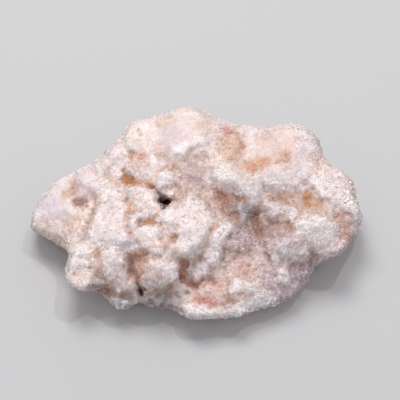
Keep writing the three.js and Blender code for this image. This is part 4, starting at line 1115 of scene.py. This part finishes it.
# Crystals: fine sugar all over, and larger six-sided points where they grew out
crystals = {
    "lean": 0.4,                       # how far they lean from straight out, in radians
    "spread": 0.4,                     # how far their size varies
    "density": 7e6,                    # the most there may be on a square metre
    "shadeSeed": 5,
    "layRounds": 6,                    # how even the skin is that they are shaded like
    "fromGround": (1.0, 2.4),          # height above the ground where they start, and are all there
    "fromDark": (0.08, 0.25),          # how light the stone is where they start, and are all there
    "fromCoarse": (1.0, 1.4),          # how coarse the sugar is where points start, and are all there
    "pointShare": 0.8,
    "thinning": 1.5,                   # how much fewer they are where they are coarser
    "cellShare": 0.8,                  # how much of its cell a crystal's map fills
    "kinds": (                         # form: heights of shoulder, tip and foot for a radius of 1
        {"name": "sugar", "sides": 3, "form": (0.0, 0.9, -0.9), "spacing": 0.6, "size": 0.44, "seed": 11,
         "sectors": (-100, -27, -8, 10, 28, 100)},
        {"name": "points", "sides": 6, "form": (0.35, 1.5, -1.4), "spacing": 1.0, "size": 0.46, "seed": 12,
         "sectors": (-100, 100)},
    ),
}

# Where crystals are coarser: size, radius, middle across and up
coarseSpots = (
    (0.7, 16, (-10, 32)), (0.7, 14, (-48, 6)), (0.75, 14, (28, 24)),
    (1.15, 8, (56, 8)), (1.15, 8, (58, -2)), (1.2, 7, (54, -12)), (1.2, 7, (45, -18)),
    (1.2, 8, (38, -26)), (1.2, 8, (28, -32)), (1.15, 8, (16, -35)), (1.1, 8, (0, -36)),
    (1.2, 6, (18, -9)), (1.15, 5, (22, -3)), (1.15, 5, (28, -10)), (1.05, 7, (1, 14)),
    (1.3, 4, (-25, -31)), (1.3, 4, (-14, -31)),
)


# One crystal of radius 1: a ring of shoulders, with a tip above and a foot below
def crystalShape(name, sides, shoulder, tip, foot):
    turns = [i * math.tau / sides for i in range(sides)]
    verts = [(math.cos(turn), math.sin(turn), shoulder) for turn in turns] + [(0, 0, tip), (0, 0, foot)]
    faces = [(i, (i + 1) % sides, sides) for i in range(sides)]
    faces += [((i + 1) % sides, i, sides + 1) for i in range(sides)]
    return linkMesh(name, verts, faces)


# A small cell for each crystal in the map named OFBake
def addCells(mesh, sides):
    vertex = np.empty(len(mesh.loops), int)
    mesh.loops.foreach_get("vertex_index", vertex)
    crystal, corner = np.divmod(vertex, sides + 2)
    across = math.ceil(math.sqrt(crystal.max() + 1))
    row, column = np.divmod(crystal, across)
    turn = corner * math.tau / sides
    reach = np.where(corner < sides, crystals["cellShare"] / 2, 0)
    x, y = column + 0.5 + np.cos(turn) * reach, row + 0.5 + np.sin(turn) * reach
    cells = np.column_stack((x, y)) / across
    mesh.uv_layers.new(name="OFBake").data.foreach_set("uv", cells.ravel())


# The tree that grows crystals on the stone, kept to one stretch across it
def growthTree(name):
    tree = bpy.data.node_groups.new(name, "GeometryNodeTree")
    face = tree.interface
    sizes = {}
    for label, kind, value in (
        ("Stone", "NodeSocketGeometry", None),
        ("Spacing", "NodeSocketFloat", 0.001),
        ("Size", "NodeSocketFloat", 0.0005),
        ("Spread", "NodeSocketFloat", 0.5),
        ("Lean", "NodeSocketFloat", 0.4),
        ("From", "NodeSocketFloat", -1.0),
        ("To", "NodeSocketFloat", 1.0),
        ("Seed", "NodeSocketInt", 1),
        ("Crystal", "NodeSocketObject", None),
        ("Finish", "NodeSocketMaterial", None),
    ):
        socket = face.new_socket(label, in_out="INPUT", socket_type=kind)
        sizes[label] = socket.identifier
        if value is not None:
            socket.default_value = value
    face.new_socket("Crystals", in_out="OUTPUT", socket_type="NodeSocketGeometry")
    given = addNode(tree, "NodeGroupInput", {}).outputs

    def made(kind, inputs, output=0, **settings):
        return addNode(tree, kind, inputs, **settings).outputs[output]

    def attribute(label):
        return made("GeometryNodeInputNamedAttribute", {"Name": label}, "Attribute", data_type="FLOAT")

    def calculated(a, operation, b):
        return made("ShaderNodeMath", {0: a, 1: b}, operation=operation)

    scatter = addNode(tree, "GeometryNodeDistributePointsOnFaces", {}, distribute_method="POISSON")
    setInputs(scatter, {
        "Mesh": given["Stone"],
        "Distance Min": given["Spacing"],
        "Density Max": crystals["density"],
        "Density Factor": attribute("growth"),
        "Seed": given["Seed"],
    })

    # only those within the stretch
    across = made("ShaderNodeSeparateXYZ", {0: made("GeometryNodeInputPosition", {})}, "X")
    after = made("FunctionNodeCompare", {0: across, 1: given["From"]}, operation="GREATER_EQUAL")
    before = made("FunctionNodeCompare", {0: across, 1: given["To"]}, operation="LESS_THAN")
    within = made("FunctionNodeBooleanMath", {0: after, 1: before})

    # turned anyhow about its own length, and leaning a little
    lean, leanBack = given["Lean"], calculated(given["Lean"], "MULTIPLY", -1.0)
    least = made("ShaderNodeCombineXYZ", {0: leanBack, 1: leanBack, 2: -math.pi})
    most = made("ShaderNodeCombineXYZ", {0: lean, 1: lean, 2: math.pi})
    turn = made("FunctionNodeRandomValue", {0: least, 1: most, "Seed": given["Seed"]},
                data_type="FLOAT_VECTOR")
    turned = made("FunctionNodeRotateRotation", {
        0: scatter.outputs["Rotation"],
        1: made("FunctionNodeEulerToRotation", {0: turn}),
    }, rotation_space="LOCAL")

    # smaller and larger ones, and coarser where the stone says so
    smallest = calculated(1.0, "SUBTRACT", given["Spread"])
    largest = calculated(1.0, "ADD", given["Spread"])
    chance = made("FunctionNodeRandomValue", {2: smallest, 3: largest, "Seed": given["Seed"]}, 1,
                  data_type="FLOAT")
    scale = calculated(given["Size"], "MULTIPLY", chance)

    grown = made("GeometryNodeInstanceOnPoints", {
        "Points": scatter.outputs["Points"],
        "Selection": within,
        "Instance": made("GeometryNodeObjectInfo", {0: given["Crystal"]}, "Geometry"),
        "Rotation": turned,
        "Scale": calculated(scale, "MULTIPLY", attribute("coarse")),
    })
    shade = made("FunctionNodeRandomValue", {"Seed": crystals["shadeSeed"]}, 1, data_type="FLOAT")
    kept = made("GeometryNodeStoreNamedAttribute", {"Geometry": grown, "Name": "shade", "Value": shade},
                domain="INSTANCE", data_type="FLOAT")
    real = made("GeometryNodeRealizeInstances", {0: kept})
    finished = made("GeometryNodeSetMaterial", {0: real, "Material": given["Finish"]})
    addNode(tree, "NodeGroupOutput", {0: finished})
    return tree, sizes


# What crystals read off the stone: the way it faces, how coarse they are, and where each kind grows
def prepareStone(mesh):
    places = placesOf(mesh)
    lay = unitRows(smoother(mesh)(normalsOf(mesh), crystals["layRounds"]))
    mesh.attributes.new("lay", "FLOAT_VECTOR", "POINT").data.foreach_set("vector", lay.ravel())
    coarse = spotShare(frontPlaces(places), coarseSpots)
    mesh.attributes.new("coarse", "FLOAT", "POINT").data.foreach_set("value", coarse)
    mesh.attributes.new("growth", "FLOAT", "POINT")
    tint = np.empty(len(places) * 4)
    mesh.attributes["tint"].data.foreach_get("color", tint)
    clear = ease(places[:, 2], *crystals["fromGround"])
    clear = clear * ease(tint.reshape(-1, 4)[:, 0], *crystals["fromDark"])
    return {
        "sugar": clear / coarse ** crystals["thinning"],
        "points": clear * ease(coarse, *crystals["fromCoarse"]) * crystals["pointShare"],
    }


def makeCrystals():
    mesh = body.data
    growths = prepareStone(mesh)
    tree, sizes = growthTree("crystalGrowth")
    for kind in crystals["kinds"]:
        mesh.attributes["growth"].data.foreach_set("value", growths[kind["name"]])
        shape = crystalShape(kind["name"] + "Shape", kind["sides"], *kind["form"])
        ends = kind["sectors"]
        for number, (start, end) in enumerate(zip(ends, ends[1:]), 1):
            name = kind["name"] + str(number)
            piece = linkPiece(name, mesh.copy())
            grow = piece.modifiers.new("growth", "NODES")
            grow.node_group = tree
            values = {
                "Spacing": kind["spacing"] * mm,
                "Size": kind["size"] * mm,
                "Spread": crystals["spread"],
                "Lean": crystals["lean"],
                "From": start * mm,
                "To": end * mm,
                "Seed": kind["seed"],
                "Crystal": shape,
                "Finish": crystalStone,
            }
            for label, value in values.items():
                grow[sizes[label]] = value
            appliedMesh(piece)
            addCells(piece.data, kind["sides"])
            piece.visible_shadow = False
            piece.visible_diffuse = False
            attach(piece, "root")
            print(name, len(piece.data.polygons), "faces")
        bpy.data.objects.remove(shape)


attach(body, "root")
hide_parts("amethyst_druse")
makeCrystals()
print("crystals grown")
